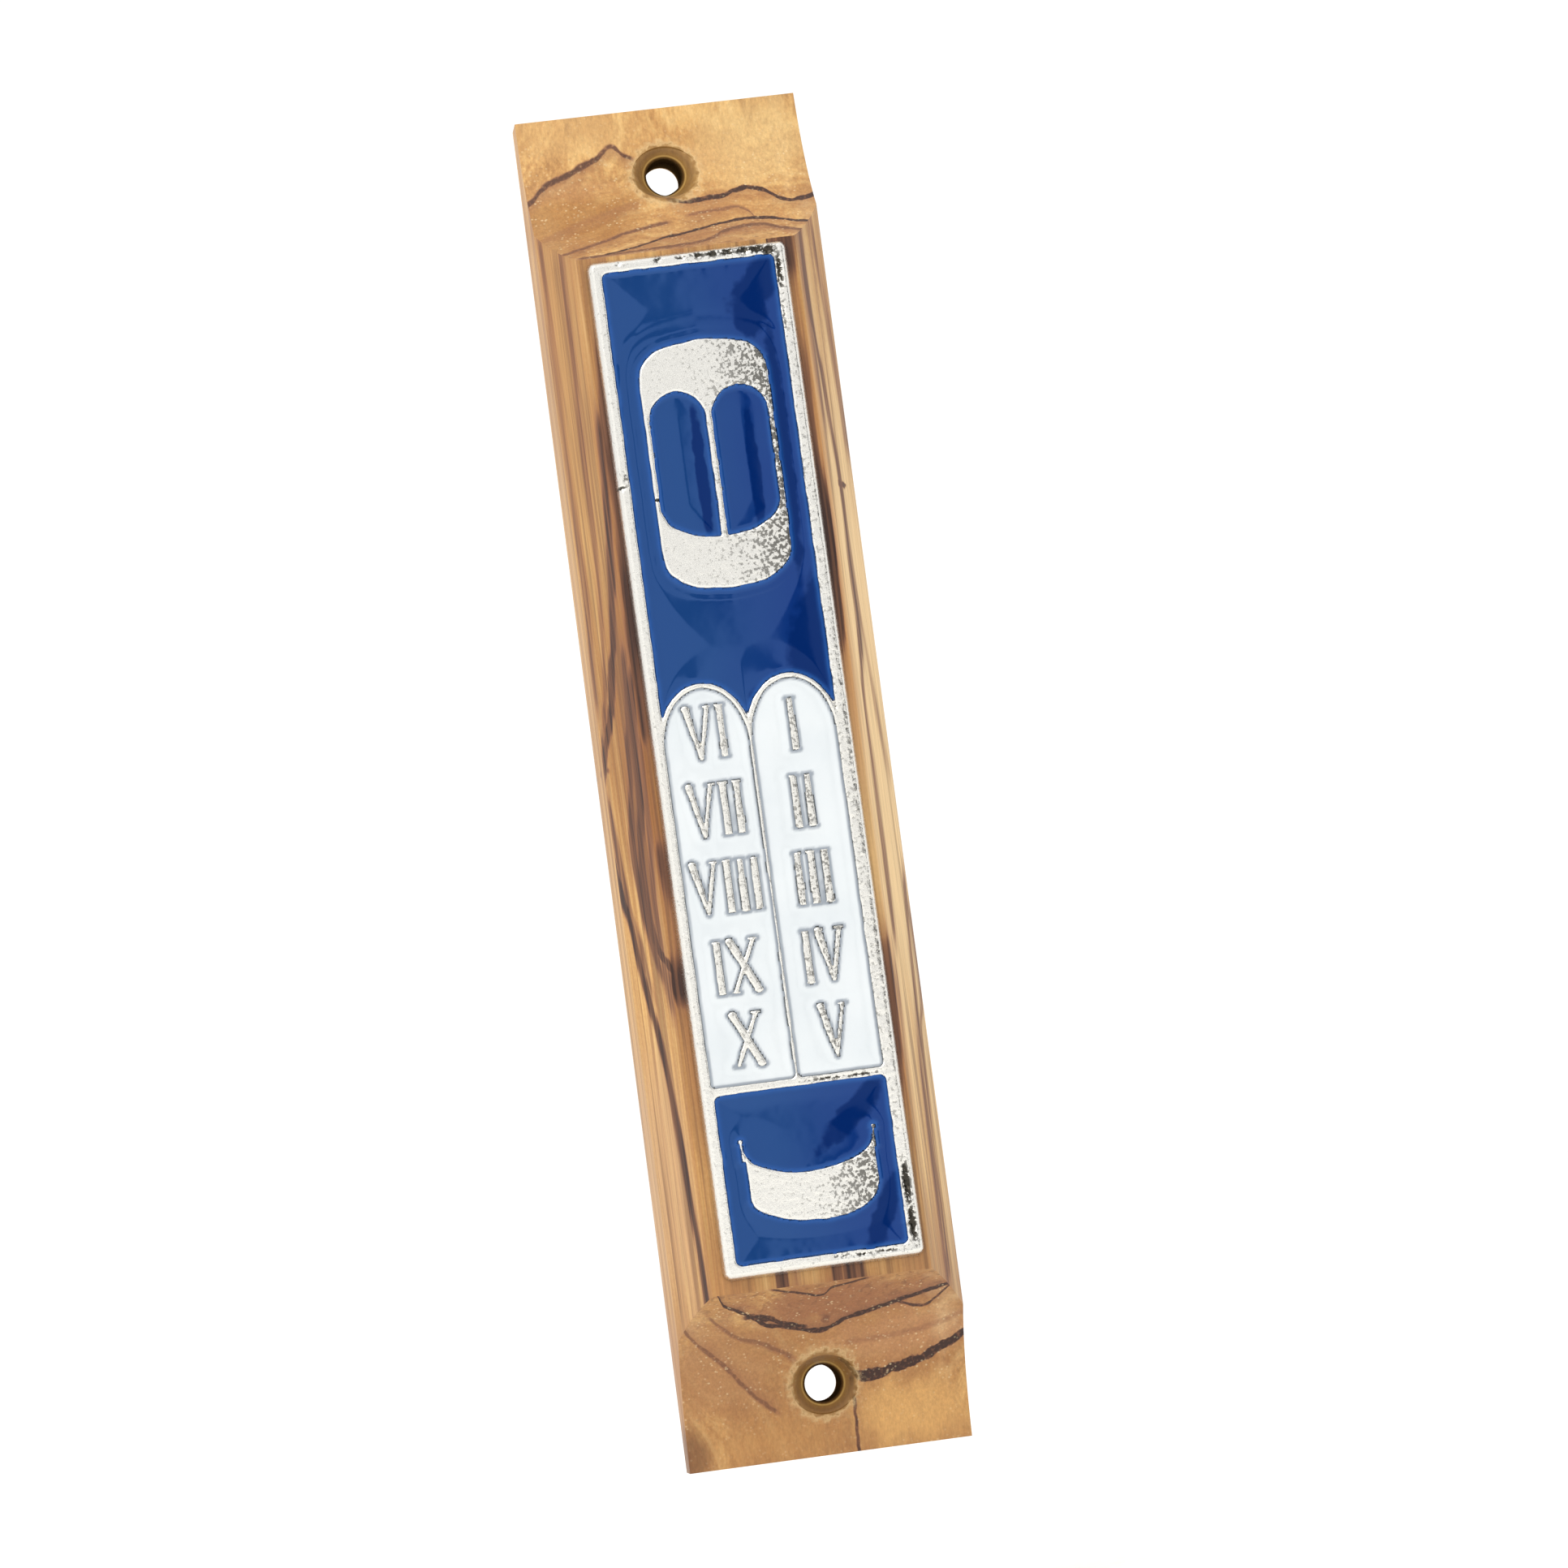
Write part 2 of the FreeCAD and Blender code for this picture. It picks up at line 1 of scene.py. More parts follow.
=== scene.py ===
import math

import bmesh
import bpy
import numpy as np
from mathutils import Euler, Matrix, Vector


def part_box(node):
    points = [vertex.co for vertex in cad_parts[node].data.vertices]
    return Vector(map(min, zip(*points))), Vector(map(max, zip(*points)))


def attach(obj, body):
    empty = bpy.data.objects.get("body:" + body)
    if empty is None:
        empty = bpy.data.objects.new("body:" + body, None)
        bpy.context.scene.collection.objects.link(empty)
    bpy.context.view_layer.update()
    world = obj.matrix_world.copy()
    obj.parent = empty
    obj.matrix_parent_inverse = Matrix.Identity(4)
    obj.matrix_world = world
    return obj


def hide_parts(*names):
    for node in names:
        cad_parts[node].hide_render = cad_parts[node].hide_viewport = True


# A mezuzah case: an olive-wood block with an enamelled, nickel-plated plaque on its front, and a rolled
# parchment in a clear wrap behind a thin cover in its back. X runs across it, Z up along it, and the front
# faces -Y. Lengths are written in millimetres and turned to metres where a mesh or light is made.

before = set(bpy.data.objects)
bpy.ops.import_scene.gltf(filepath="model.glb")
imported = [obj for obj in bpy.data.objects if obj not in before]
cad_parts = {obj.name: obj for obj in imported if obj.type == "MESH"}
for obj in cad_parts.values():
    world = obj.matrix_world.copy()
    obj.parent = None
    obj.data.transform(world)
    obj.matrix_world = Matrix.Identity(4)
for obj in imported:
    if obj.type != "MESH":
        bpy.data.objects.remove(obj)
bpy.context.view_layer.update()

MM = 0.001
SEED = 21


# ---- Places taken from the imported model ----


def box_mm(node):
    """The lowest and highest corner of a node, in millimetres."""
    low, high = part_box(node)
    return np.array(low) / MM, np.array(high) / MM


WOOD_LOW, WOOD_HIGH = box_mm("wood_body")
PLAQUE_LOW, PLAQUE_HIGH = box_mm("metal_plaque")
GLUE_LOW = box_mm("plaque_adhesive")[0]
SCROLL_LOW, SCROLL_HIGH = box_mm("parchment_scroll")
WRAP_LOW, WRAP_HIGH = box_mm("scroll_wrap")
WHITE_LOW = box_mm("enamel_white_right")[0]
BLUE_LOW = box_mm("enamel_blue_upper")[0]

WOOD_DEPTH = WOOD_HIGH[1] - WOOD_LOW[1]
WOOD_HALF_WIDTH = WOOD_HIGH[0]
FACE_TOP = 45.3
FACE_BOTTOM = -44.85
TAB_THICKNESS = 4.0
COVE_RADIUS = 19.0
LONG_REACH = 48.0
OUT_LOW = 7.0
OUT_SPAN = 6.0
SCREW_HOLE_UP = 53.7

# The plaque was glued down by hand, a little off centre and leaning.
PLAQUE_CENTRE = (PLAQUE_LOW + PLAQUE_HIGH) / 2
PLAQUE_LEAN = math.radians(-0.29)
PLAQUE_HALF_WIDTH = 8.75
PLAQUE_HALF_HEIGHT = 44.3
PLAQUE_CORNER = 0.7
PLAQUE_THICKNESS = GLUE_LOW[1] - PLAQUE_LOW[1]
RECESS_FLOOR = 0.5
BLUE_LEVEL = GLUE_LOW[1] - BLUE_LOW[1]
WHITE_LEVEL = GLUE_LOW[1] - WHITE_LOW[1]


# ---- Colours and nodes ----


def linear(hex_code):
    """An sRGB hex colour as linear RGBA."""
    parts = [int(hex_code[i : i + 2], 16) / 255 for i in (1, 3, 5)]
    curve = [p / 12.92 if p <= 0.04045 else ((p + 0.055) / 1.055) ** 2.4 for p in parts]
    return (*curve, 1.0)


def new_material(name):
    """An empty node material and its shader."""
    material = bpy.data.materials.new(name)
    material.use_nodes = True
    nodes = material.node_tree.nodes
    return material, nodes["Principled BSDF"]


def socket_of(sockets, key):
    """A node's socket by place, or the socket in use that has that name."""
    if isinstance(key, int):
        return sockets[key]
    return next(s for s in sockets if s.enabled and s.name == key)


def add(material, kind, inputs=None, stops=None, points=None, **settings):
    """Adds a node with its settings. Inputs are numbers, colours, nodes or sockets."""
    tree = material.node_tree
    node = tree.nodes.new(kind)
    for name, value in settings.items():
        setattr(node, name, value)
    if stops:
        ramp = node.color_ramp.elements
        while len(ramp) < len(stops):
            ramp.new(0.5)
        for element, (place, shade) in zip(ramp, stops):
            element.position = place
        for element, (place, shade) in zip(ramp, stops):
            element.color = linear(shade) if isinstance(shade, str) else (shade, shade, shade, 1.0)
    if points:
        curve = node.mapping.curves[0]
        while len(curve.points) < len(points):
            curve.points.new(0.5, 0.5)
        for point, place in zip(curve.points, points):
            point.location = place
        node.mapping.update()
    link(material, node, inputs or {})
    return node


def link(material, node, inputs):
    """Fills a node's inputs."""
    for key, value in inputs.items():
        socket = socket_of(node.inputs, key)
        if isinstance(value, bpy.types.Node):
            value = next(s for s in value.outputs if s.enabled)
        if isinstance(value, bpy.types.NodeSocket):
            material.node_tree.links.new(value, socket)
        else:
            socket.default_value = value


# ---- Olive wood ----

# Heartwood lines on the coves: (points across and up, half width, strength, shade on the face's side).
# Each is where a sheet that runs along the grain comes out of the cove.
COVE_LINES = [
    (
        [(-12.5, 52.1), (-11.9, 52.6), (-10.9, 53.6), (-9.9, 54.1), (-8.5, 54.6), (-7.2, 55.3),
         (-5.9, 55.8), (-5.2, 56.4), (-4.6, 56.8), (-4.1, 56.7), (-3.4, 56.0), (-3.0, 55.7)],
        0.16, 0.8, 0.42,
    ),
    (
        [(0.1, 50.9), (1.2, 50.6), (2.8, 50.7), (4.3, 50.8), (5.9, 51.3), (7.0, 51.4), (8.0, 51.1),
         (8.8, 50.5), (9.6, 49.9), (10.4, 49.6), (11.2, 49.6), (12.5, 49.9)],
        0.2, 0.93, 0.3,
    ),
    (
        [(-6.7, 45.7), (-4.6, 46.1), (-3.0, 46.5), (-1.4, 47.0), (0.1, 47.2), (1.7, 47.5), (3.3, 47.8),
         (5.9, 48.1), (7.5, 48.0), (8.6, 47.8), (10.7, 47.1), (12.5, 46.9)],
        0.16, 0.95, 0.3,
    ),
    ([(-10.5, 46.2), (-8.5, 46.8), (-6.4, 47.4), (-4.0, 48.1), (-1.0, 48.6)], 0.1, 0.62, 0.25),
    (
        [(-9.0, 45.5), (-4.0, 45.7), (2.0, 46.1), (4.3, 47.1), (7.5, 47.2), (8.6, 46.7), (11.2, 45.8)],
        0.18, 0.65, 0.5,
    ),
    ([(1.5, 49.2), (4.0, 49.4), (6.0, 49.3), (6.8, 48.3)], 0.07, 0.5, 0.2),
    ([(-12.5, 47.8), (-9.5, 49.2), (-6.0, 50.3), (-3.2, 51.0)], 0.1, 0.22, 0.25),
    (
        [(-10.1, -43.9), (-9.1, -44.8), (-8.3, -45.9), (-7.2, -46.4), (-5.9, -47.2), (-4.6, -48.0),
         (-3.0, -48.3), (-1.2, -48.8), (0.1, -48.95), (2.2, -48.2), (5.4, -47.55), (11.2, -46.3)],
        0.22, 0.98, 0.5,
    ),
    ([(-6.3, -47.0), (-5.2, -47.2), (-4.4, -47.4), (-3.5, -47.9), (-1.6, -48.45)], 0.36, 0.95, 0.0),
    ([(6.9, -47.4), (8.3, -47.9), (9.1, -47.95), (10.2, -47.3), (11.1, -46.6)], 0.14, 0.88, 0.0),
    (
        [(1.8, -52.6), (2.8, -53.35), (4.3, -53.4), (5.9, -53.2), (7.5, -52.8), (9.1, -52.4), (10.7, -51.7),
         (12.5, -50.8)],
        0.42, 0.98, 0.16,
    ),
    (
        [(-12.5, -46.6), (-10.9, -48.8), (-9.6, -50.0), (-8.3, -51.4), (-7.2, -52.8), (-5.9, -54.3),
         (-4.6, -55.4)],
        0.16, 0.55, 0.3,
    ),
    ([(-9.5, -46.9), (-7.2, -48.8), (-5.7, -49.3), (-4.1, -50.1), (-2.8, -50.9)], 0.14, 0.5, 0.2),
    (
        [(-4.0, -45.0), (-2.8, -45.3), (-1.2, -45.7), (0.1, -45.9), (0.9, -45.4), (2.2, -45.2),
         (3.6, -45.0)],
        0.13, 0.92, 0.0,
    ),
    ([(2.5, -50.3), (6.0, -50.2), (9.5, -49.8), (12.5, -49.0)], 0.09, 0.36, 0.1),
]
COVE_LINE_EDGE = 0.22
COVE_FAINT_EDGE = 0.5
COVE_SHADE_REACH = 2.2
COVE_LINE_WAVER = 0.5

# Lines on the faces cut along the grain: (points up and out from the middle, side, half width, strength).
LONG_LINES = [
    (
        [(-46, 10.0), (-40, 10.1), (-35, 10.25), (-30, 10.45), (-25, 10.75), (-20, 11.2), (-17, 11.55),
         (-13, 11.9), (-10, 12.3), (-7, 12.6)],
        -1, 0.08, 1.0,
    ),
    (
        [(30, 9.5), (20, 9.9), (15, 10.3), (12, 10.6), (10, 10.95), (7, 11.3), (5, 11.7), (3, 12.2),
         (1, 12.6)],
        -1, 0.14, 0.85,
    ),
    (
        [(47, 10.7), (40, 10.8), (30, 10.95), (20, 11.0), (15, 11.2), (10, 11.5), (6, 11.9), (3, 12.4)],
        -1, 0.05, 0.6,
    ),
    ([(47, 12.2), (40, 12.2), (30, 12.15), (15, 12.2), (8, 12.4)], -1, 0.1, 0.5),
    (
        [(8, 9.75), (5, 9.9), (2, 9.95), (-2, 10.1), (-5, 10.4), (-8, 10.65), (-11, 10.6), (-14, 10.3),
         (-16, 9.6), (-18, 8.6)],
        -1, 0.16, 0.9,
    ),
    (
        [(10, 9.9), (5, 10.2), (3, 10.4), (0, 10.6), (-3, 10.9), (-6, 11.1), (-9, 11.0), (-12, 10.8),
         (-16, 10.3)],
        -1, 0.1, 0.75,
    ),
    ([(2, 9.6), (-5, 9.7), (-8, 9.9), (-11, 10.0), (-14, 9.9), (-19, 9.7)], -1, 0.1, 0.6),
    ([(-2, 12.5), (-5, 12.3), (-9, 12.1), (-13, 11.6), (-17, 11.2)], -1, 0.1, 0.6),
    (
        [(47, 10.25), (40, 10.15), (36, 10.35), (33, 10.6), (29, 10.75), (23.5, 11.0), (15, 10.85),
         (12, 10.9), (8, 10.7), (5, 10.5), (-1, 10.45), (-15, 10.3)],
        1, 0.07, 0.62,
    ),
    ([(24, 11.0), (18, 11.05), (12, 11.2), (8, 11.4), (0, 11.9)], 1, 0.06, 0.35),
    (
        [(-12, 12.2), (-17, 11.9), (-20, 11.8), (-24, 11.6), (-28, 11.4), (-33, 11.25), (-38, 11.2),
         (-46, 11.1)],
        1, 0.06, 0.55,
    ),
    (
        [(-15, 12.45), (-22, 12.3), (-24, 11.9), (-30, 11.6), (-35, 11.5), (-40, 11.55), (-46, 11.2)],
        1, 0.05, 0.55,
    ),
    ([(47, 11.5), (40, 11.9), (35, 12.1), (28, 12.3)], 1, 0.12, 0.45),
    ([(47, 9.9), (42, 9.9), (36, 9.95), (30, 10.1)], 1, 0.08, 0.45),
]
LONG_LINE_EDGE = 0.26
LONG_LINE_WAVER = 0.5

# Dark bands along both sides of the plaque: (up, how far out it reaches, strength), for each side.
DARK_BANDS = {
    -1: [(47, 8.7, 0.3), (41, 8.9, 0.5), (35, 9.2, 0.8), (29, 9.5, 0.9), (21, 9.5, 0.75), (15, 9.5, 0.95),
         (9, 9.7, 0.85), (4, 9.6, 0.7), (1, 9.1, 0.15), (-4, 9.1, 0.1), (-7, 9.4, 0.75), (-11, 9.3, 0.5),
         (-14, 9.2, 0.3), (-18, 9.6, 0.95), (-21, 9.1, 0.15), (-46, 8.9, 0.1)],
    1: [(47, 9.8, 0.8), (43, 9.6, 0.7), (40, 9.3, 0.3), (34, 9.5, 0.55), (28, 9.3, 0.6), (20, 9.5, 0.9),
        (12, 9.4, 0.85), (6, 9.0, 0.4), (1, 8.8, 0.1), (-13, 9.3, 0.05), (-17, 9.8, 0.7), (-23, 9.7, 0.85),
        (-28, 9.4, 0.75), (-32, 9.2, 0.35), (-40, 9.2, 0.25), (-46, 9.2, 0.2)],
}

# Short dark streaks below the plaque: (across, half width, strength).
FOOT_STREAKS = [(-3.4, 0.45, 0.8), (-2.2, 0.3, 0.35), (1.4, 0.35, 0.85), (2.8, 0.8, 0.8)]

# Broad patches of another tone: (across, up, half width, half height, colour, strength).
TONE_PATCHES = [
    (8.5, 56.0, 7.0, 5.0, "#CFAE76", 0.6),
    (-7.0, 58.5, 6.0, 3.0, "#C79F66", 0.5),
    (-8.0, 50.0, 6.5, 3.6, "#98652C", 0.8),
    (-8.0, 53.2, 5.0, 1.5, "#A8774A", 0.5),
    (4.5, 50.0, 7.0, 1.6, "#A9733E", 0.5),
    (2.0, 46.2, 10.0, 1.3, "#8E5C38", 0.5),
    (1.0, 54.0, 6.0, 5.0, "#B98A50", 0.35),
    (1.0, -46.6, 11.0, 1.9, "#8A5738", 0.75),
    (-9.5, -51.0, 5.0, 5.5, "#A5774C", 0.6),
    (7.5, -50.3, 6.5, 2.2, "#B28056", 0.6),
    (8.0, -57.2, 6.5, 3.6, "#D0A05F", 0.75),
    (-4.0, -58.0, 7.0, 2.6, "#B5854B", 0.4),
    (-12.3, -58.5, 2.2, 2.6, "#5E381E", 0.65),
    (11.4, 0.0, 3.0, 46.5, "#DFC08F", 0.85),
    (-11.3, -34.0, 1.6, 16.0, "#B9926A", 0.75),
    (-11.0, 30.0, 2.0, 24.0, "#AF8651", 0.6),
    (-10.2, 2.0, 2.6, 17.0, "#845328", 0.75),
    # The next three darken narrow strips close beside the plaque.
    (-9.2, 22.0, 1.0, 26.0, "#8A5628", 0.7),
    (9.2, 20.0, 0.9, 30.0, "#A5652C", 0.55),
    (9.2, -24.0, 0.9, 12.0, "#A5652C", 0.55),
]
KNOTS = [(0.4, -48.0, 0.5, 0.55), (-12.2, 1.5, 0.3, 0.6), (11.15, 23.6, 0.3, 0.8)]

# The growth rings lie parallel to one sheet: (x, depth from the back) at the upper and the lower end.
RING_SHEET = (
    [(-12.5, 11.0), (-6.0, 8.6), (0.0, 7.4), (6.0, 7.0), (12.5, 8.0)],
    [(-12.5, 13.0), (-7.0, 9.6), (0.0, 7.0), (6.0, 8.0), (12.5, 10.5)],
)
SHEET_REACH = 24.0
CRACK_ACROSS = 2.5
GRAIN_STRETCH = 0.02
PORE_SPACING = 0.42
STAIN_BROWN = "#86563A"
STAIN_DARK = "#33190F"


def cove_depth(up):
    """The wood's thickness where a cove has reached a height, from the cove's circle."""
    edge = FACE_TOP if up > 0 else -FACE_BOTTOM
    run, rise = WOOD_HIGH[2] - edge, WOOD_DEPTH - TAB_THICKNESS
    chord = math.hypot(run, rise)
    offset = math.sqrt(COVE_RADIUS**2 - chord**2 / 4)
    centre_up = (WOOD_HIGH[2] + edge) / 2 + offset * rise / chord
    centre_depth = (WOOD_DEPTH + TAB_THICKNESS) / 2 + offset * run / chord
    return centre_depth - math.sqrt(COVE_RADIUS**2 - (abs(up) - centre_up) ** 2)


def wood_place(material):
    """Object coordinates in millimetres, split in three."""
    place = add(material, "ShaderNodeTexCoord").outputs["Object"]
    scaled = add(material, "ShaderNodeVectorMath", {0: place, "Scale": 1 / MM}, operation="SCALE")
    return scaled, add(material, "ShaderNodeSeparateXYZ", {0: scaled})


def along_grain(material, place, stretch):
    """Coordinates in which a pattern is drawn out along the grain, Z."""
    return add(material, "ShaderNodeVectorMath", {0: place, 1: (1.0, 1.0, stretch)}, operation="MULTIPLY")


def height_above_sheet(material, split, upper, lower):
    """How far a point of the wood is in front of a sheet that runs along the grain."""
    across = add(
        material,
        "ShaderNodeMapRange",
        {0: split.outputs["X"], "From Min": -WOOD_HALF_WIDTH, "From Max": WOOD_HALF_WIDTH},
    )
    depths = []
    for line in (upper, lower):
        points = [((x + WOOD_HALF_WIDTH) / (2 * WOOD_HALF_WIDTH), depth / SHEET_REACH) for x, depth in line]
        depths.append(add(material, "ShaderNodeFloatCurve", {"Value": across}, points=points))
    height = add(
        material,
        "ShaderNodeMapRange",
        {0: split.outputs["Z"], "From Min": FACE_BOTTOM, "From Max": FACE_TOP},
        interpolation_type="SMOOTHSTEP",
    )
    sheet = add(material, "ShaderNodeMix", {"Factor": height, "A": depths[1], "B": depths[0]})
    depth = add(material, "ShaderNodeMath", {0: sheet, 1: SHEET_REACH}, operation="MULTIPLY")
    return add(material, "ShaderNodeMath", {0: depth, 1: split.outputs["Y"]}, operation="ADD")


def soft_span(material, value, low, high, edge):
    """1 between two values and falling to 0 beyond them over an edge."""
    rise = add(
        material,
        "ShaderNodeMapRange",
        {0: value, "From Min": low - edge, "From Max": low},
        interpolation_type="SMOOTHSTEP",
    )
    fall = add(
        material,
        "ShaderNodeMapRange",
        {0: value, "From Min": high, "From Max": high + edge, "To Min": 1.0, "To Max": 0.0},
        interpolation_type="SMOOTHSTEP",
    )
    return add(material, "ShaderNodeMath", {0: rise, 1: fall}, operation="MULTIPLY")


def cove_line_darkness(material, split, steepness, waver, breakup, line):
    """How dark one heartwood line is: strongest on the line, and shaded on the side of the raised face."""
    points, half, strength, shade = line
    depths = [(x, cove_depth(up)) for x, up in points]
    across = add(
        material,
        "ShaderNodeMapRange",
        {0: split.outputs["X"], "From Min": -WOOD_HALF_WIDTH, "From Max": WOOD_HALF_WIDTH},
    )
    places = [((x + WOOD_HALF_WIDTH) / (2 * WOOD_HALF_WIDTH), depth / SHEET_REACH) for x, depth in depths]
    sheet = add(material, "ShaderNodeFloatCurve", {"Value": across}, points=places)
    above = add(
        material,
        "ShaderNodeMath",
        {0: sheet, 1: SHEET_REACH, 2: split.outputs["Y"]},
        operation="MULTIPLY_ADD",
    )
    gap = add(material, "ShaderNodeMath", {0: above, 1: steepness}, operation="DIVIDE")
    gap = add(material, "ShaderNodeMath", {0: gap, 1: waver}, operation="ADD")
    away = add(material, "ShaderNodeMath", {0: gap}, operation="ABSOLUTE")
    width = add(
        material,
        "ShaderNodeMath",
        {0: breakup, 1: half * 2.4, 2: -half * 0.2},
        operation="MULTIPLY_ADD",
    )
    edge = COVE_LINE_EDGE if strength > 0.85 else COVE_FAINT_EDGE
    soft = add(material, "ShaderNodeMath", {0: width, 1: edge}, operation="ADD")
    dark = add(
        material,
        "ShaderNodeMapRange",
        {0: away, "From Min": width, "From Max": soft, "To Min": strength, "To Max": 0.0},
        interpolation_type="SMOOTHSTEP",
    )
    if shade:
        trail = add(
            material,
            "ShaderNodeMapRange",
            {0: gap, "From Min": -COVE_SHADE_REACH, "From Max": 0.0, "To Max": shade},
            interpolation_type="SMOOTHSTEP",
        )
        behind = add(material, "ShaderNodeMath", {0: gap, 1: 0.0}, operation="LESS_THAN")
        shadow = add(material, "ShaderNodeMath", {0: trail, 1: behind}, operation="MULTIPLY")
        dark = add(material, "ShaderNodeMath", {0: dark, 1: shadow}, operation="MAXIMUM")
    span = soft_span(material, split.outputs["X"], points[0][0], points[-1][0], 0.9)
    end = 1 if points[0][1] > 0 else -1
    near_end = add(
        material,
        "ShaderNodeMapRange",
        {0: split.outputs["Z"], "From Min": end * 20.0, "From Max": end * 43.5},
        interpolation_type="SMOOTHSTEP",
    )
    dark = add(material, "ShaderNodeMath", {0: dark, 1: span}, operation="MULTIPLY")
    return add(material, "ShaderNodeMath", {0: dark, 1: near_end}, operation="MULTIPLY")


def long_line_gap(material, split, side, points):
    """How far out from a line that runs along the grain a point of one side is."""
    along = add(
        material,
        "ShaderNodeMapRange",
        {0: split.outputs["Z"], "From Min": -LONG_REACH, "From Max": LONG_REACH},
    )
    places = [
        ((up + LONG_REACH) / (2 * LONG_REACH), (out - OUT_LOW) / OUT_SPAN)
        for up, out in sorted(points)
    ]
    line = add(material, "ShaderNodeFloatCurve", {"Value": along}, points=places)
    line = add(material, "ShaderNodeMath", {0: line, 1: OUT_SPAN, 2: OUT_LOW}, operation="MULTIPLY_ADD")
    out = add(material, "ShaderNodeMath", {0: split.outputs["X"], 1: float(side)}, operation="MULTIPLY")
    return add(material, "ShaderNodeMath", {0: out, 1: line}, operation="SUBTRACT")


def long_line_darkness(material, split, waver, line):
    """How dark one line along a bevel is."""
    points, side, half, strength = line
    gap = long_line_gap(material, split, side, points)
    gap = add(material, "ShaderNodeMath", {0: gap, 1: waver}, operation="ADD")
    away = add(material, "ShaderNodeMath", {0: gap}, operation="ABSOLUTE")
    dark = add(
        material,
        "ShaderNodeMapRange",
        {0: away, "From Min": half, "From Max": half + LONG_LINE_EDGE, "To Min": strength, "To Max": 0.0},
        interpolation_type="SMOOTHSTEP",
    )
    heights = [up for up, _ in points]
    span = soft_span(material, split.outputs["Z"], min(heights), max(heights), 4.0)
    return add(material, "ShaderNodeMath", {0: dark, 1: span}, operation="MULTIPLY")


def band_darkness(material, split, waver, side, band):
    """A dark band beside the plaque on one side, with a feathered outer edge."""
    gap = long_line_gap(material, split, side, [(up, out) for up, out, strength in band])
    gap = add(material, "ShaderNodeMath", {0: waver, 1: 1.6, 2: gap}, operation="MULTIPLY_ADD")
    inside = add(
        material,
        "ShaderNodeMapRange",
        {0: gap, "From Min": -0.35, "From Max": 0.3, "To Min": 1.0, "To Max": 0.0},
        interpolation_type="SMOOTHSTEP",
    )
    along = add(
        material,
        "ShaderNodeMapRange",
        {0: split.outputs["Z"], "From Min": -LONG_REACH, "From Max": LONG_REACH},
    )
    places = [((up + LONG_REACH) / (2 * LONG_REACH), strength) for up, out, strength in sorted(band)]
    strength = add(material, "ShaderNodeFloatCurve", {"Value": along}, points=places)
    on_side = add(
        material,
        "ShaderNodeMath",
        {0: split.outputs["X"], 1: side * 7.0},
        operation="GREATER_THAN" if side > 0 else "LESS_THAN",
    )
    dark = add(material, "ShaderNodeMath", {0: inside, 1: strength}, operation="MULTIPLY")
    return add(material, "ShaderNodeMath", {0: dark, 1: on_side}, operation="MULTIPLY")


def tone_patches(material, split, ragged, surface):
    """The wood's colour with broad patches of lighter sapwood and darker heartwood over it, and darker strips
    close beside the plaque.
    """
    for x, up, half_width, half_height, shade, strength in TONE_PATCHES:
        across = add(
            material,
            "ShaderNodeMath",
            {0: split.outputs["X"], 1: 1 / half_width, 2: -x / half_width},
            operation="MULTIPLY_ADD",
        )
        along = add(
            material,
            "ShaderNodeMath",
            {0: split.outputs["Z"], 1: 1 / half_height, 2: -up / half_height},
            operation="MULTIPLY_ADD",
        )
        flat = add(material, "ShaderNodeCombineXYZ", {0: across, 1: along})
        reach = add(material, "ShaderNodeVectorMath", {0: flat}, operation="LENGTH").outputs["Value"]
        reach = add(material, "ShaderNodeMath", {0: ragged, 1: 1.2, 2: reach}, operation="MULTIPLY_ADD")
        share = add(
            material,
            "ShaderNodeMapRange",
            {0: reach, "From Min": 0.35, "From Max": 1.25, "To Min": strength, "To Max": 0.0},
            interpolation_type="SMOOTHSTEP",
        )
        surface = add(
            material,
            "ShaderNodeMix",
            {"Factor": share, "A": surface, "B": linear(shade)},
            data_type="RGBA",
        )
    return surface


def knot_darkness(material, split, waver):
    """Small knots: dark smudges with ragged edges."""
    dark = None
    for x, up, radius, strength in KNOTS:
        across = add(material, "ShaderNodeMath", {0: split.outputs["X"], 1: x}, operation="SUBTRACT")
        along = add(material, "ShaderNodeMath", {0: split.outputs["Z"], 1: up}, operation="SUBTRACT")
        flat = add(material, "ShaderNodeCombineXYZ", {0: across, 1: along})
        reach = add(material, "ShaderNodeVectorMath", {0: flat}, operation="LENGTH").outputs["Value"]
        reach = add(material, "ShaderNodeMath", {0: waver, 1: 1.2, 2: reach}, operation="MULTIPLY_ADD")
        spot = add(
            material,
            "ShaderNodeMapRange",
            {0: reach, "From Min": radius * 0.4, "From Max": radius * 1.3, "To Min": strength, "To Max": 0.0},
            interpolation_type="SMOOTHSTEP",
        )
        dark = (
            spot
            if dark is None
            else add(material, "ShaderNodeMath", {0: dark, 1: spot}, operation="MAXIMUM")
        )
    return dark


def stained(material, surface, dark):
    """The wood's colour under a stain: red-brown where it is faint, brown-black where it is strong."""
    faint = add(material, "ShaderNodeMapRange", {0: dark, "From Max": 0.6, "To Max": 0.9})
    strong = add(material, "ShaderNodeMapRange", {0: dark, "From Min": 0.35, "From Max": 0.95})
    surface = add(
        material,
        "ShaderNodeMix",
        {"Factor": faint, "A": surface, "B": linear(STAIN_BROWN)},
        data_type="RGBA",
    )
    return add(
        material,
        "ShaderNodeMix",
        {"Factor": strong, "A": surface, "B": linear(STAIN_DARK)},
        data_type="RGBA",
    )


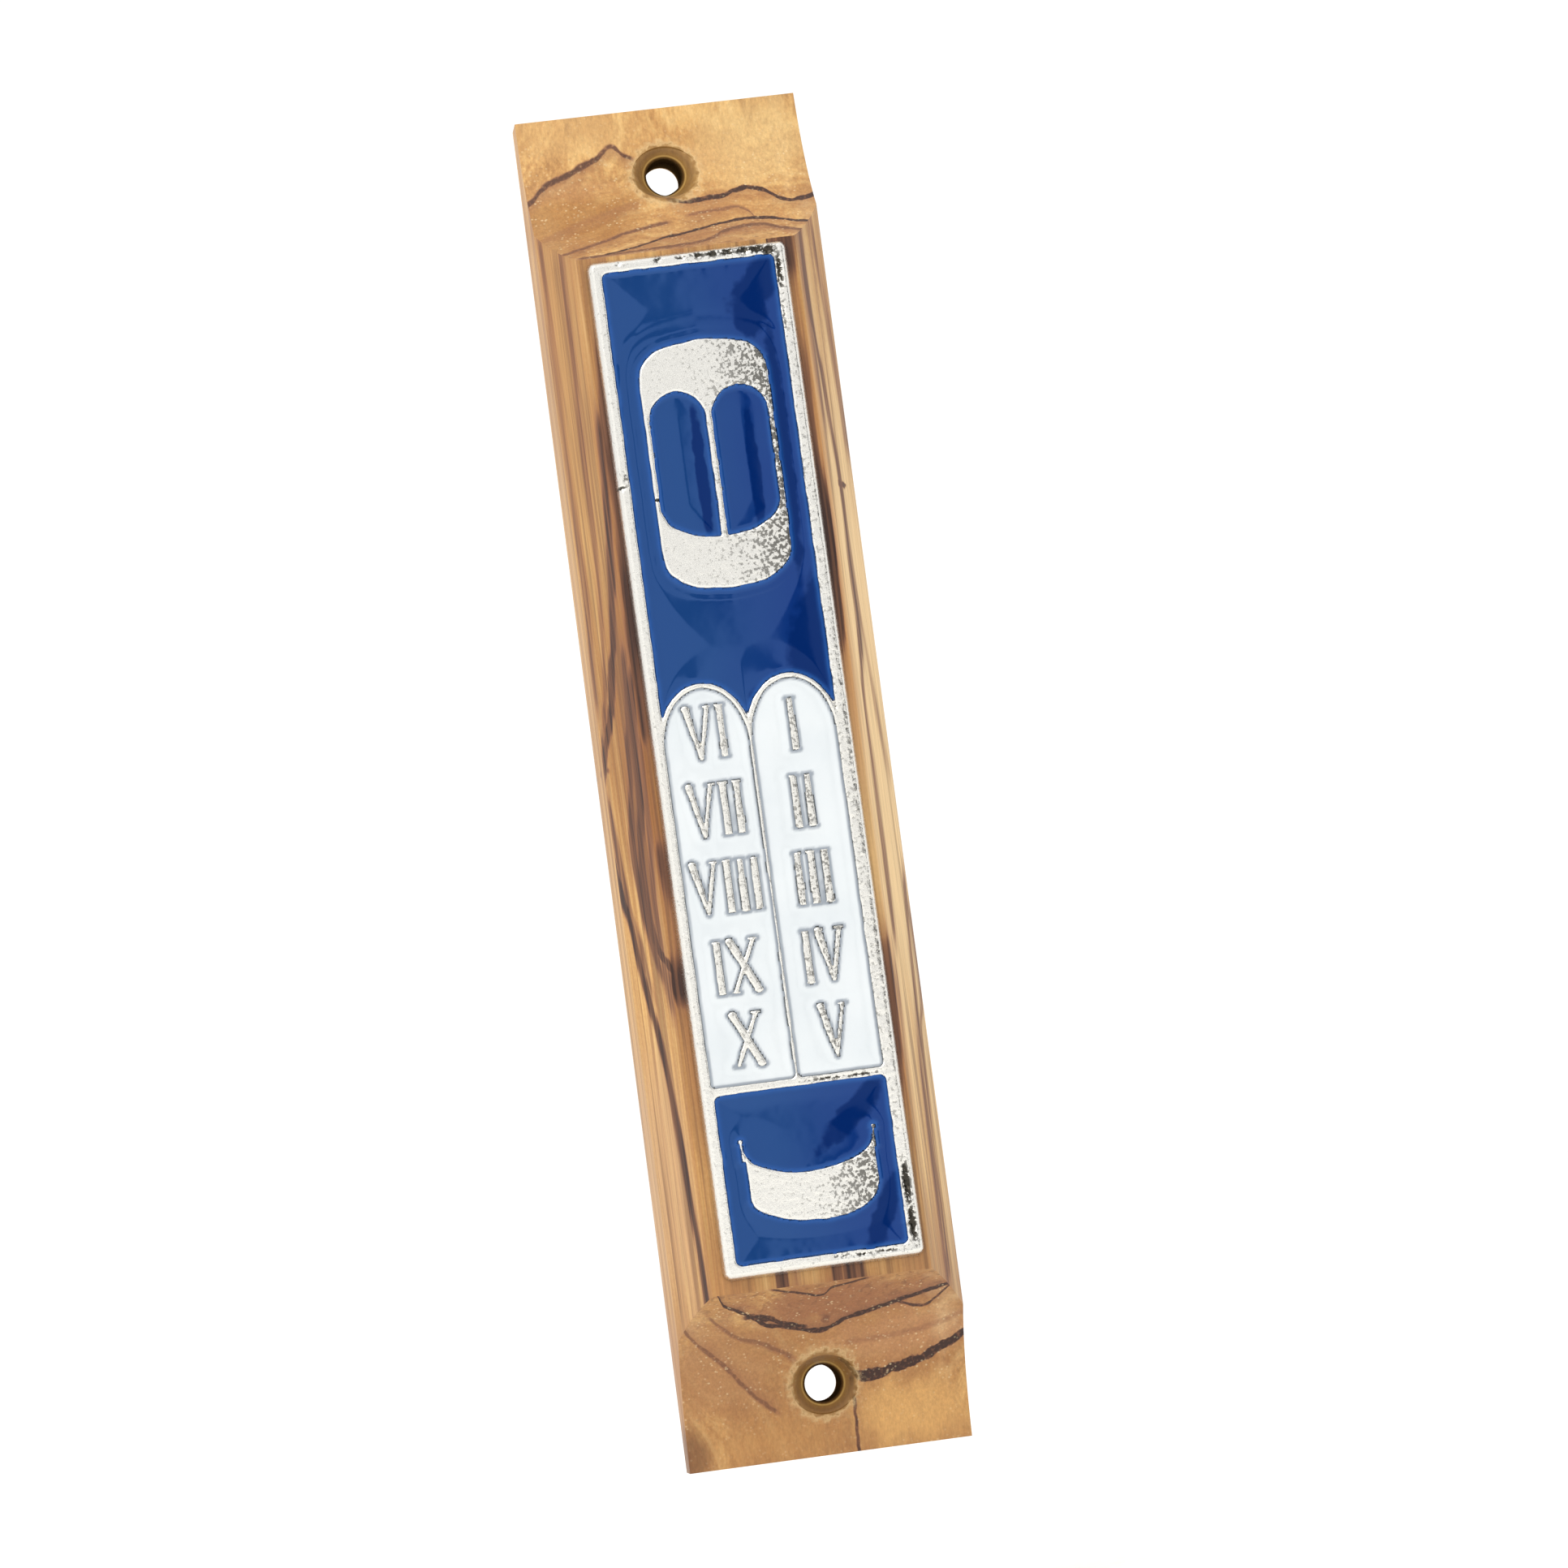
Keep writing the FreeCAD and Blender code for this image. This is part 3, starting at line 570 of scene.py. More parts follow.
def crack_darkness(material, split, wander):
    """The straight dark line that drops from the lower hole to the end, square to the growth rings."""
    place = add(
        material,
        "ShaderNodeMath",
        {0: wander, 1: 0.35, 2: -CRACK_ACROSS},
        operation="MULTIPLY_ADD",
    )
    place = add(material, "ShaderNodeMath", {0: place, 1: split.outputs["X"]}, operation="ADD")
    away = add(material, "ShaderNodeMath", {0: place}, operation="ABSOLUTE")
    line = add(
        material,
        "ShaderNodeMapRange",
        {0: away, "From Min": 0.08, "From Max": 0.24, "To Min": 0.9, "To Max": 0.0},
        interpolation_type="SMOOTHSTEP",
    )
    deep = add(material, "ShaderNodeMapRange", {0: split.outputs["Y"], "From Min": -7.2, "From Max": -6.7})
    low = add(material, "ShaderNodeMapRange", {0: split.outputs["Z"], "From Min": -52.5, "From Max": -53.5})
    line = add(material, "ShaderNodeMath", {0: line, 1: deep}, operation="MULTIPLY")
    return add(material, "ShaderNodeMath", {0: line, 1: low}, operation="MULTIPLY")


def make_olive_wood():
    """Olive wood, sawn along the grain, sanded and lightly oiled: honey sapwood, brown-black heartwood lines.

    The grain is a solid pattern, so that the coves cut across the growth rings and show them as curves.
    """
    material, shader = new_material("olive_wood_sanded_and_oiled")
    place, split = wood_place(material)
    flowing = along_grain(material, place, 0.06)

    # Growth rings, gently bent.
    bend = add(material, "ShaderNodeTexNoise", {"Vector": flowing, "Scale": 0.17, "Detail": 1.5})
    above = height_above_sheet(material, split, *RING_SHEET)
    ring_place = add(material, "ShaderNodeMath", {0: bend, 1: 7.0, 2: above}, operation="MULTIPLY_ADD")
    ring_line = add(material, "ShaderNodeCombineXYZ", {0: ring_place})
    rings = add(
        material,
        "ShaderNodeTexNoise",
        {"Vector": ring_line, "Scale": 0.8, "Detail": 3.0, "Roughness": 0.55},
    )

    # Straight fibres, as fine as the block shows them.
    fibre_place = along_grain(material, place, GRAIN_STRETCH)
    fibres = add(material, "ShaderNodeTexNoise", {"Vector": fibre_place, "Scale": 2.6, "Detail": 5.0})
    mottle = add(material, "ShaderNodeTexNoise", {"Vector": place, "Scale": 3.2, "Detail": 4.0})
    tooth_place = along_grain(material, place, 0.45)

    tone = add(material, "ShaderNodeMath", {0: rings, 1: 0.6}, operation="MULTIPLY")
    tone = add(material, "ShaderNodeMath", {0: fibres, 1: 0.28, 2: tone}, operation="MULTIPLY_ADD")
    tone = add(material, "ShaderNodeMath", {0: mottle, 1: 0.12, 2: tone}, operation="MULTIPLY_ADD")
    tooth = add(
        material,
        "ShaderNodeTexNoise",
        {"Vector": tooth_place, "Scale": 4.5, "Detail": 3.0, "Roughness": 0.7},
    )
    threads = add(material, "ShaderNodeTexNoise", {"Vector": fibre_place, "Scale": 7.0, "Detail": 3.0})
    base = add(
        material,
        "ShaderNodeValToRGB",
        {"Fac": tone},
        stops=[
            (0.32, "#80562F"),
            (0.40, "#A47641"),
            (0.47, "#B98A50"),
            (0.55, "#CCA264"),
            (0.66, "#D9B478"),
        ],
    )

    normal = add(material, "ShaderNodeNewGeometry").outputs["Normal"]
    facing = add(material, "ShaderNodeSeparateXYZ", {0: normal})
    end_grain = add(material, "ShaderNodeMath", {0: facing.outputs["Z"]}, operation="ABSOLUTE")
    sideways = add(material, "ShaderNodeMath", {0: facing.outputs["X"]}, operation="ABSOLUTE")
    steepness = add(material, "ShaderNodeMath", {0: end_grain, 1: sideways}, operation="MAXIMUM")
    steepness = add(material, "ShaderNodeMath", {0: steepness, 1: 0.12}, operation="MAXIMUM")
    long_cut = add(
        material,
        "ShaderNodeMapRange",
        {0: end_grain, "From Min": 0.1, "From Max": 0.3, "To Min": 1.0, "To Max": 0.0},
    )

    # Broad patches of darker, redder heartwood, more of it towards the lower end.
    patch = add(
        material,
        "ShaderNodeTexNoise",
        {"Vector": along_grain(material, place, 0.2), "Scale": 0.13, "Detail": 2.0},
    )
    lower = add(
        material,
        "ShaderNodeMapRange",
        {0: split.outputs["Z"], "From Min": -35.0, "From Max": -50.0, "To Max": 0.22},
    )
    patch = add(material, "ShaderNodeMath", {0: patch, 1: lower}, operation="ADD")
    patch_mask = add(
        material,
        "ShaderNodeMapRange",
        {0: patch, "From Min": 0.46, "From Max": 0.72, "To Max": 0.7},
        interpolation_type="SMOOTHSTEP",
    )
    warm = add(
        material,
        "ShaderNodeMix",
        {"Factor": patch_mask, "A": base, "B": linear("#96653A")},
        data_type="RGBA",
    )

    soft_edges = add(material, "ShaderNodeTexNoise", {"Vector": flowing, "Scale": 0.5, "Detail": 3.0})
    soft_edges = add(material, "ShaderNodeMath", {0: soft_edges, 1: 0.5}, operation="SUBTRACT")
    toned = tone_patches(material, split, soft_edges, warm)

    # Heartwood lines on the coves, brown-black with a soft edge.
    wander = add(material, "ShaderNodeTexNoise", {"Vector": place, "Scale": 0.9, "Detail": 2.0})
    wander = add(material, "ShaderNodeMath", {0: wander, 1: 0.5}, operation="SUBTRACT")
    waver = add(material, "ShaderNodeMath", {0: wander, 1: COVE_LINE_WAVER}, operation="MULTIPLY")
    breakup = add(material, "ShaderNodeTexNoise", {"Vector": place, "Scale": 1.1, "Detail": 4.0})
    dark = crack_darkness(material, split, wander)
    for line in COVE_LINES:
        one = cove_line_darkness(material, split, steepness, waver, breakup, line)
        dark = add(material, "ShaderNodeMath", {0: dark, 1: one}, operation="MAXIMUM")
    on_cove = add(material, "ShaderNodeMath", {0: long_cut, 1: -0.6, 2: 1.0}, operation="MULTIPLY_ADD")
    dark = add(material, "ShaderNodeMath", {0: dark, 1: on_cove}, operation="MULTIPLY")
    knots = knot_darkness(material, split, wander)
    dark = add(material, "ShaderNodeMath", {0: dark, 1: knots}, operation="MAXIMUM")
    flecks = add(
        material,
        "ShaderNodeMapRange",
        {0: mottle, "From Min": 0.3, "From Max": 0.5, "To Min": 0.7},
    )
    dark = add(material, "ShaderNodeMath", {0: dark, 1: flecks}, operation="MULTIPLY")
    veined = stained(material, toned, dark)

    # Lines, and the dark bands beside the plaque, on the faces cut along the grain, feathered by the fibres.
    feather_place = along_grain(material, place, 0.05)
    feather = add(material, "ShaderNodeTexNoise", {"Vector": feather_place, "Scale": 1.6, "Detail": 5.0})
    feather = add(material, "ShaderNodeMath", {0: feather, 1: 0.5}, operation="SUBTRACT")
    long_waver = add(material, "ShaderNodeMath", {0: feather, 1: LONG_LINE_WAVER}, operation="MULTIPLY")
    long_dark = None
    for line in LONG_LINES:
        one = long_line_darkness(material, split, long_waver, line)
        long_dark = one if long_dark is None else add(
            material, "ShaderNodeMath", {0: long_dark, 1: one}, operation="MAXIMUM"
        )
    for side, band in DARK_BANDS.items():
        one = band_darkness(material, split, feather, side, band)
        long_dark = add(material, "ShaderNodeMath", {0: long_dark, 1: one}, operation="MAXIMUM")
    foot = add(material, "ShaderNodeMath", {0: split.outputs["Z"], 1: -38.0}, operation="LESS_THAN")
    for across, half, strength in FOOT_STREAKS:
        one = soft_span(material, split.outputs["X"], across - half, across + half, 0.25)
        one = add(material, "ShaderNodeMath", {0: one, 1: foot}, operation="MULTIPLY")
        one = add(material, "ShaderNodeMath", {0: one, 1: strength}, operation="MULTIPLY")
        long_dark = add(material, "ShaderNodeMath", {0: long_dark, 1: one}, operation="MAXIMUM")
    in_front = add(
        material,
        "ShaderNodeMapRange",
        {0: split.outputs["Y"], "From Min": -9.6, "From Max": -10.2},
    )
    long_dark = add(material, "ShaderNodeMath", {0: long_dark, 1: in_front}, operation="MULTIPLY")
    long_dark = add(material, "ShaderNodeMath", {0: long_dark, 1: long_cut}, operation="MULTIPLY")
    thready = add(
        material,
        "ShaderNodeMapRange",
        {0: fibres, "From Min": 0.34, "From Max": 0.6, "To Min": 1.3, "To Max": 0.75},
    )
    long_dark = add(
        material,
        "ShaderNodeMath",
        {0: long_dark, 1: thready},
        operation="MULTIPLY",
        use_clamp=True,
    )
    veined = stained(material, veined, long_dark)

    # Fine grain over everything: short hairs on the coves, long threads on the faces cut along the grain.
    hairs = add(material, "ShaderNodeMix", {"Factor": long_cut, "A": tooth, "B": threads})
    hair_light = add(
        material,
        "ShaderNodeMapRange",
        {0: hairs, "From Min": 0.3, "From Max": 0.7, "To Min": -1.0},
    )
    hair_light = add(material, "ShaderNodeMath", {0: hair_light, 1: 0.16, 2: 1.0}, operation="MULTIPLY_ADD")
    veined = add(material, "ShaderNodeVectorMath", {0: veined, "Scale": hair_light}, operation="SCALE")

    # Long dark streaks on the faces cut along the grain, feathered by the fibres.
    streak_place = along_grain(material, place, 0.016)
    streaks = add(
        material,
        "ShaderNodeTexNoise",
        {"Vector": streak_place, "Scale": 1.3, "Detail": 5.0, "Distortion": 0.5},
    )
    streaks = add(material, "ShaderNodeMath", {0: fibres, 1: -0.12, 2: streaks}, operation="MULTIPLY_ADD")
    end_mask = add(material, "ShaderNodeMapRange", {0: end_grain, "From Min": 0.12, "From Max": 0.5})
    from_middle = add(material, "ShaderNodeMath", {0: split.outputs["Z"]}, operation="ABSOLUTE")
    long_mask = add(
        material,
        "ShaderNodeMapRange",
        {0: from_middle, "From Min": FACE_TOP, "From Max": 48.0, "To Min": 0.5, "To Max": 0.08},
    )
    streak_mask = add(
        material,
        "ShaderNodeMapRange",
        {0: streaks, "From Min": 0.47, "From Max": 0.6, "To Max": long_mask},
        interpolation_type="SMOOTHSTEP",
    )
    streaked = add(
        material,
        "ShaderNodeMix",
        {"Factor": streak_mask, "A": veined, "B": linear("#5F3B26")},
        data_type="RGBA",
    )

    # End grain, where the surface cuts across the fibres: sanding dust sits in the open pores as pale
    # specks.
    pores = add(
        material,
        "ShaderNodeTexVoronoi",
        {"Vector": place, "Scale": 1 / PORE_SPACING, "Randomness": 1.0},
    )
    pore_spots = add(
        material,
        "ShaderNodeMapRange",
        {0: pores.outputs["Distance"], "From Min": 0.12, "From Max": 0.32, "To Min": 1.0, "To Max": 0.0},
    )
    dusty = add(material, "ShaderNodeTexNoise", {"Vector": place, "Scale": 0.7, "Detail": 3.0})
    dusty = add(material, "ShaderNodeMapRange", {0: dusty, "From Min": 0.45, "From Max": 0.62})
    dust = add(material, "ShaderNodeMath", {0: pore_spots, 1: end_mask}, operation="MULTIPLY")
    dust = add(material, "ShaderNodeMath", {0: dust, 1: dusty}, operation="MULTIPLY")
    dust = add(material, "ShaderNodeMath", {0: dust, 1: 0.5}, operation="MULTIPLY")
    dusted = add(
        material,
        "ShaderNodeMix",
        {"Factor": dust, "A": streaked, "B": linear("#E6CFA2")},
        data_type="RGBA",
    )
    drilled = shade_countersinks(material, split, dusted)
    link(material, shader, {"Base Color": drilled})
    rough = add(material, "ShaderNodeMapRange", {0: fibres, "To Min": 0.42, "To Max": 0.62})
    sheen = hole_sheen(material, split)
    link(material, shader, {"Roughness": rough, "Specular IOR Level": sheen, "IOR": 1.5})

    # Pores and fibres stand in the surface.
    relief = add(material, "ShaderNodeMath", {0: fibres, 1: 0.6}, operation="MULTIPLY")
    relief = add(material, "ShaderNodeMath", {0: pore_spots, 1: 0.25, 2: relief}, operation="MULTIPLY_ADD")
    bump = add(material, "ShaderNodeBump", {"Strength": 0.35, "Distance": 0.12 * MM, "Height": relief})
    link(material, shader, {"Normal": bump})
    return material


# The countersinks, by distance from the hole's axis over DRILL_REACH: the hole's wall painted near-black as
# shade, a bright burr where the two drills met, the burnished cone, then torn fibres round its rim.
DRILL_REACH = 5.0
DRILL_COLOURS_AND_HOLE_SHADE = [
    # The hole's wall: painted shade, near-black.
    (0.330, "#120A05"),
    (0.352, "#4A3316"),
    (0.375, "#B39052"),
    (0.400, "#7A5A2A"),
    (0.470, "#62451E"),
    (0.540, "#86642F"),
    (0.600, "#D0B482"),
]
DRILL_STRENGTH = [
    (0.0, 0.97), (0.37, 0.9), (0.42, 0.75), (0.56, 0.6), (0.605, 0.5), (0.64, 0.22), (0.72, 0.0),
]


def reach_from_hole(material, split):
    """A flat place measured from the nearer screw hole's axis, and its distance from it."""
    up = add(material, "ShaderNodeMath", {0: split.outputs["Z"]}, operation="ABSOLUTE")
    rise = add(material, "ShaderNodeMath", {0: up, 1: SCREW_HOLE_UP}, operation="SUBTRACT")
    flat = add(material, "ShaderNodeCombineXYZ", {0: split.outputs["X"], 1: rise})
    return flat, add(material, "ShaderNodeVectorMath", {0: flat}, operation="LENGTH").outputs["Value"]


def hole_sheen(material, split):
    """How glossy the wood is: the oil stays on the outside, and the drilled walls are dry."""
    reach = reach_from_hole(material, split)[1]
    return add(material, "ShaderNodeMapRange", {0: reach, "From Min": 1.7, "From Max": 2.6, "To Max": 0.42})


def shade_countersinks(material, split, surface):
    """The wood's colour with both countersinks drawn over it, on the front only; the hole's wall is painted
    near-black as shade.
    """
    flat, reach = reach_from_hole(material, split)
    ragged = add(material, "ShaderNodeTexNoise", {"Vector": flat, "Scale": 1.7, "Detail": 4.0})
    outside = add(
        material,
        "ShaderNodeMapRange",
        {0: reach, "From Min": 2.5, "From Max": 3.0, "To Max": 2.2},
    )
    push = add(material, "ShaderNodeMath", {0: ragged, 1: 0.5}, operation="SUBTRACT")
    push = add(material, "ShaderNodeMath", {0: push, 1: outside, 2: reach}, operation="MULTIPLY_ADD")
    share = add(material, "ShaderNodeMath", {0: push, 1: DRILL_REACH}, operation="DIVIDE")
    drill_colour = add(material, "ShaderNodeValToRGB", {"Fac": share}, stops=DRILL_COLOURS_AND_HOLE_SHADE)
    strength = add(material, "ShaderNodeValToRGB", {"Fac": share}, stops=DRILL_STRENGTH)
    front = add(material, "ShaderNodeMapRange", {0: split.outputs["Y"], "From Min": -0.1, "From Max": -0.4})
    mask = add(material, "ShaderNodeMath", {0: strength, 1: front}, operation="MULTIPLY")
    return add(
        material,
        "ShaderNodeMix",
        {"Factor": mask, "A": surface, "B": drill_colour},
        data_type="RGBA",
    )


def make_cover_wood():
    """A thin slip of straight-grained olive sapwood, planed and sanded, with few dark lines."""
    material, shader = new_material("olive_sapwood_planed")
    place, split = wood_place(material)
    drawn_out = along_grain(material, place, 0.02)
    bend = add(material, "ShaderNodeTexNoise", {"Vector": drawn_out, "Scale": 0.2, "Detail": 2.0})
    ring_place = add(
        material,
        "ShaderNodeMath",
        {0: bend, 1: 6.0, 2: split.outputs["X"]},
        operation="MULTIPLY_ADD",
    )
    ring_line = add(material, "ShaderNodeCombineXYZ", {0: ring_place})
    rings = add(material, "ShaderNodeTexNoise", {"Vector": ring_line, "Scale": 1.5, "Detail": 3.0})
    fibres = add(material, "ShaderNodeTexNoise", {"Vector": drawn_out, "Scale": 3.4, "Detail": 5.0})
    tone = add(material, "ShaderNodeMath", {0: fibres, 1: 0.35}, operation="MULTIPLY")
    tone = add(material, "ShaderNodeMath", {0: rings, 1: 0.65, 2: tone}, operation="MULTIPLY_ADD")
    base = add(
        material,
        "ShaderNodeValToRGB",
        {"Fac": tone},
        stops=[(0.32, "#9C6C3E"), (0.42, "#C4935A"), (0.52, "#D8AE74"), (0.66, "#E6C490")],
    )
    rough = add(material, "ShaderNodeMapRange", {0: fibres, "To Min": 0.48, "To Max": 0.66})
    bump = add(material, "ShaderNodeBump", {"Strength": 0.3, "Distance": 0.1 * MM, "Height": fibres})
    link(material, shader, {"Base Color": base, "Roughness": rough, "Normal": bump})
    return material


# ---- Metal, enamel, parchment, film and glue ----

CAST_GRAIN = 0.26
PLATE_GRAIN = 0.09


def make_nickel_plate():
    """Zinc alloy, spin cast in a rubber mould and nickel plated: bright, but grainy, with dark pinholes.

    The pits are painted deeper and closer on the right of the raised shapes and on the numerals: over the
    real pinholes, this is painted dark reflection and shade.
    """
    material, shader = new_material("nickel_plated_casting")
    place = wood_place(material)[0]
    # The speckle share: real pinholes, with painted dark reflection and shade where it is high.
    pits_and_reflection = add(material, "ShaderNodeAttribute", attribute_name="pits_and_reflection").outputs["Fac"]
    grain = add(material, "ShaderNodeTexNoise", {"Vector": place, "Scale": 1 / CAST_GRAIN, "Detail": 4.0})
    fine = add(material, "ShaderNodeTexNoise", {"Vector": place, "Scale": 1 / PLATE_GRAIN, "Detail": 2.0})
    low_cut = add(material, "ShaderNodeMath", {0: pits_and_reflection, 1: 0.17, 2: 0.3}, operation="MULTIPLY_ADD")
    high_cut = add(material, "ShaderNodeMath", {0: low_cut, 1: 0.1}, operation="ADD")
    pits = add(
        material,
        "ShaderNodeMapRange",
        {0: grain, "From Min": low_cut, "From Max": high_cut, "To Min": 1.0, "To Max": 0.0},
        interpolation_type="SMOOTHSTEP",
    )
    depth = add(material, "ShaderNodeMath", {0: pits_and_reflection, 1: 0.55, 2: 0.3}, operation="MULTIPLY_ADD")
    pit_shade = add(material, "ShaderNodeMath", {0: pits, 1: depth}, operation="MULTIPLY", use_clamp=True)
    base = add(
        material,
        "ShaderNodeMix",
        {"Factor": pit_shade, "A": linear("#E8E6E0"), "B": linear("#3F3C36")},
        data_type="RGBA",
    )
    rough = add(material, "ShaderNodeMapRange", {0: fine, "To Min": 0.16, "To Max": 0.36})
    height = add(material, "ShaderNodeMath", {0: fine, 1: 0.35, 2: grain}, operation="MULTIPLY_ADD")
    bump = add(material, "ShaderNodeBump", {"Strength": 0.5, "Distance": 0.06 * MM, "Height": height})
    link(
        material,
        shader,
        {"Base Color": base, "Metallic": 1.0, "Roughness": rough, "Normal": bump},
    )
    return material


# Dark reflections painted into the blue, where the glassy enamel would mirror the dark studio cards: (across,
# up, half length, half width, turn in degrees), seen from the front.
DARK_REFLECTION_PATCHES = [
    (5.7, 41.2, 4.0, 1.7, 45.0),
    (4.6, 39.0, 1.6, 2.4, 0.0),
    (6.2, 9.0, 2.2, 7.0, -12.0),
    (3.4, 4.6, 3.6, 3.0, 40.0),
    (4.3, -30.9, 4.4, 1.1, 41.0),
    (5.8, -40.0, 1.0, 4.0, -25.0),
    (-1.3, 25.0, 0.55, 6.5, 0.0),
    (3.3, 25.0, 0.55, 6.5, 0.0),
    (6.0, 26.0, 0.8, 12.0, 0.0),
]


def dark_reflection_share(material, place):
    """How far into a painted dark reflection a point is, with ragged edges."""
    ragged = add(material, "ShaderNodeTexNoise", {"Vector": place, "Scale": 0.9, "Detail": 3.0})
    ragged = add(material, "ShaderNodeMath", {0: ragged, 1: 0.5}, operation="SUBTRACT")
    deep = None
    for x, up, half_length, half_width, turn in DARK_REFLECTION_PATCHES:
        own = add(
            material,
            "ShaderNodeMapping",
            {
                "Vector": place,
                "Location": (x, 0.0, up),
                "Rotation": (0.0, math.radians(-turn), 0.0),
                "Scale": (half_length, 1000.0, half_width),
            },
            vector_type="TEXTURE",
        )
        reach = add(material, "ShaderNodeVectorMath", {0: own}, operation="LENGTH").outputs["Value"]
        reach = add(material, "ShaderNodeMath", {0: ragged, 1: 0.9, 2: reach}, operation="MULTIPLY_ADD")
        one = add(
            material,
            "ShaderNodeMapRange",
            {0: reach, "From Min": 0.75, "From Max": 1.1, "To Min": 1.0, "To Max": 0.0},
            interpolation_type="SMOOTHSTEP",
        )
        deep = (
            one
            if deep is None
            else add(material, "ShaderNodeMath", {0: deep, 1: one}, operation="MAXIMUM")
        )
    return deep


def make_blue_enamel():
    """Cold enamel, poured into the recesses and cured: deep blue and glassy, with dark reflections painted
    into its colour.
    """
    material, shader = new_material("blue_enamel_poured")
    place, split = wood_place(material)
    near = add(material, "ShaderNodeAttribute", attribute_name="near_metal").outputs["Fac"]
    # The blue is painted darker towards the right: a painted dark reflection.
    cloud = add(material, "ShaderNodeTexNoise", {"Vector": place, "Scale": 0.25, "Detail": 2.0})
    cloud = add(
        material,
        "ShaderNodeMath",
        {0: cloud, 1: 4.0, 2: split.outputs["X"]},
        operation="MULTIPLY_ADD",
    )
    rightward = add(material, "ShaderNodeMapRange", {0: cloud, "From Min": -1.0, "From Max": 7.0})
    body = add(
        material,
        "ShaderNodeValToRGB",
        {"Fac": rightward},
        stops=[(0.0, "#13386F"), (1.0, "#06296A")],
    )
    # Painted dark reflections: the deepest blue, where the enamel would mirror the dark cards.
    deep = dark_reflection_share(material, place)
    body = add(
        material,
        "ShaderNodeMix",
        {"Factor": deep, "A": body, "B": linear("#02205A")},
        data_type="RGBA",
    )
    # Lighter blue beside the metal: partly thin enamel over the bright metal, partly a painted highlight
    # along the enamel's raised edge.
    base = add(
        material,
        "ShaderNodeMix",
        {"Factor": near, "A": body, "B": linear("#1B4687")},
        data_type="RGBA",
    )
    ripple = add(material, "ShaderNodeTexNoise", {"Vector": place, "Scale": 0.3, "Detail": 2.0})
    bump = add(material, "ShaderNodeBump", {"Strength": 0.3, "Distance": 0.03 * MM, "Height": ripple})
    # The painted dark reflections also get less real reflection, so they stay dark.
    shine = add(material, "ShaderNodeMapRange", {0: deep, "To Min": 0.8, "To Max": 0.3})
    link(
        material,
        shader,
        {
            "Base Color": base,
            "Roughness": 0.07,
            "IOR": 1.52,
            "Specular IOR Level": shine,
            "Specular Tint": linear("#94BDFF"),
            "Normal": bump,
        },
    )
    return material


def make_white_enamel():
    """White cold enamel, nearly flush with the metal, grey-blue round each raised shape: partly where it
    thins over the wall, partly painted shade beside the raised metal.
    """
    material, shader = new_material("white_enamel_poured")
    place = wood_place(material)[0]
    near = add(material, "ShaderNodeAttribute", attribute_name="near_metal").outputs["Fac"]
    cloud = add(material, "ShaderNodeTexNoise", {"Vector": place, "Scale": 0.2, "Detail": 3.0})
    body = add(
        material,
        "ShaderNodeValToRGB",
        {"Fac": cloud},
        stops=[(0.3, "#CFD5D9"), (0.7, "#D6DBDE")],
    )
    # Grey-blue beside the raised metal: partly thin enamel over the wall, partly painted shade.
    base = add(
        material,
        "ShaderNodeMix",
        {"Factor": near, "A": body, "B": linear("#8C949E")},
        data_type="RGBA",
    )
    ripple = add(material, "ShaderNodeTexNoise", {"Vector": place, "Scale": 0.4, "Detail": 2.0})
    bump = add(material, "ShaderNodeBump", {"Strength": 0.3, "Distance": 0.08 * MM, "Height": ripple})
    link(
        material,
        shader,
        {"Base Color": base, "Roughness": 0.12, "IOR": 1.52, "Normal": bump, "Coat Weight": 0.3},
    )
    shader.inputs["Coat Roughness"].default_value = 0.04
    return material


def make_parchment():
    """Vellum: scraped animal skin, matt and cream, with faint mottling and follicle marks."""
    material, shader = new_material("scraped_vellum")
    place = wood_place(material)[0]
    mottle = add(material, "ShaderNodeTexNoise", {"Vector": place, "Scale": 0.5, "Detail": 5.0})
    base = add(
        material,
        "ShaderNodeValToRGB",
        {"Fac": mottle},
        stops=[(0.3, "#D8C59C"), (0.5, "#E8DAB8"), (0.7, "#F1E7CC")],
    )
    follicles = add(material, "ShaderNodeTexVoronoi", {"Vector": place, "Scale": 2.5})
    bump = add(
        material,
        "ShaderNodeBump",
        {"Strength": 0.3, "Distance": 0.05 * MM, "Height": follicles.outputs["Distance"]},
    )
    link(material, shader, {"Base Color": base, "Roughness": 0.78, "Normal": bump})
    return material


def make_clear_film():
    """Cellophane wrap: thin, clear and glossy, with fine creases that catch the light."""
    material, shader = new_material("cellophane_wrap")
    place = wood_place(material)[0]
    creases = add(
        material,
        "ShaderNodeTexNoise",
        {"Vector": along_grain(material, place, 0.25), "Scale": 0.9, "Detail": 3.0, "Distortion": 1.2},
    )
    tint = add(
        material,
        "ShaderNodeValToRGB",
        {"Fac": creases},
        stops=[(0.4, "#E6ECEE"), (0.6, "#FAFCFC")],
    )
    bump = add(material, "ShaderNodeBump", {"Strength": 0.8, "Distance": 0.25 * MM, "Height": creases})
    link(
        material,
        shader,
        {"Base Color": tint, "Roughness": 0.09, "Alpha": 0.2, "IOR": 1.47, "Normal": bump},
    )
    return material


def make_glue():
    """Contact glue, squeezed flat and yellowed: half gloss, with small bubbles."""
    material, shader = new_material("contact_glue")
    place = wood_place(material)[0]
    bubbles = add(material, "ShaderNodeTexVoronoi", {"Vector": place, "Scale": 1.4})
    base = add(
        material,
        "ShaderNodeValToRGB",
        {"Fac": bubbles.outputs["Distance"]},
        stops=[(0.1, "#B79A5E"), (0.5, "#D8C592")],
    )
    link(material, shader, {"Base Color": base, "Roughness": 0.4})
    return material


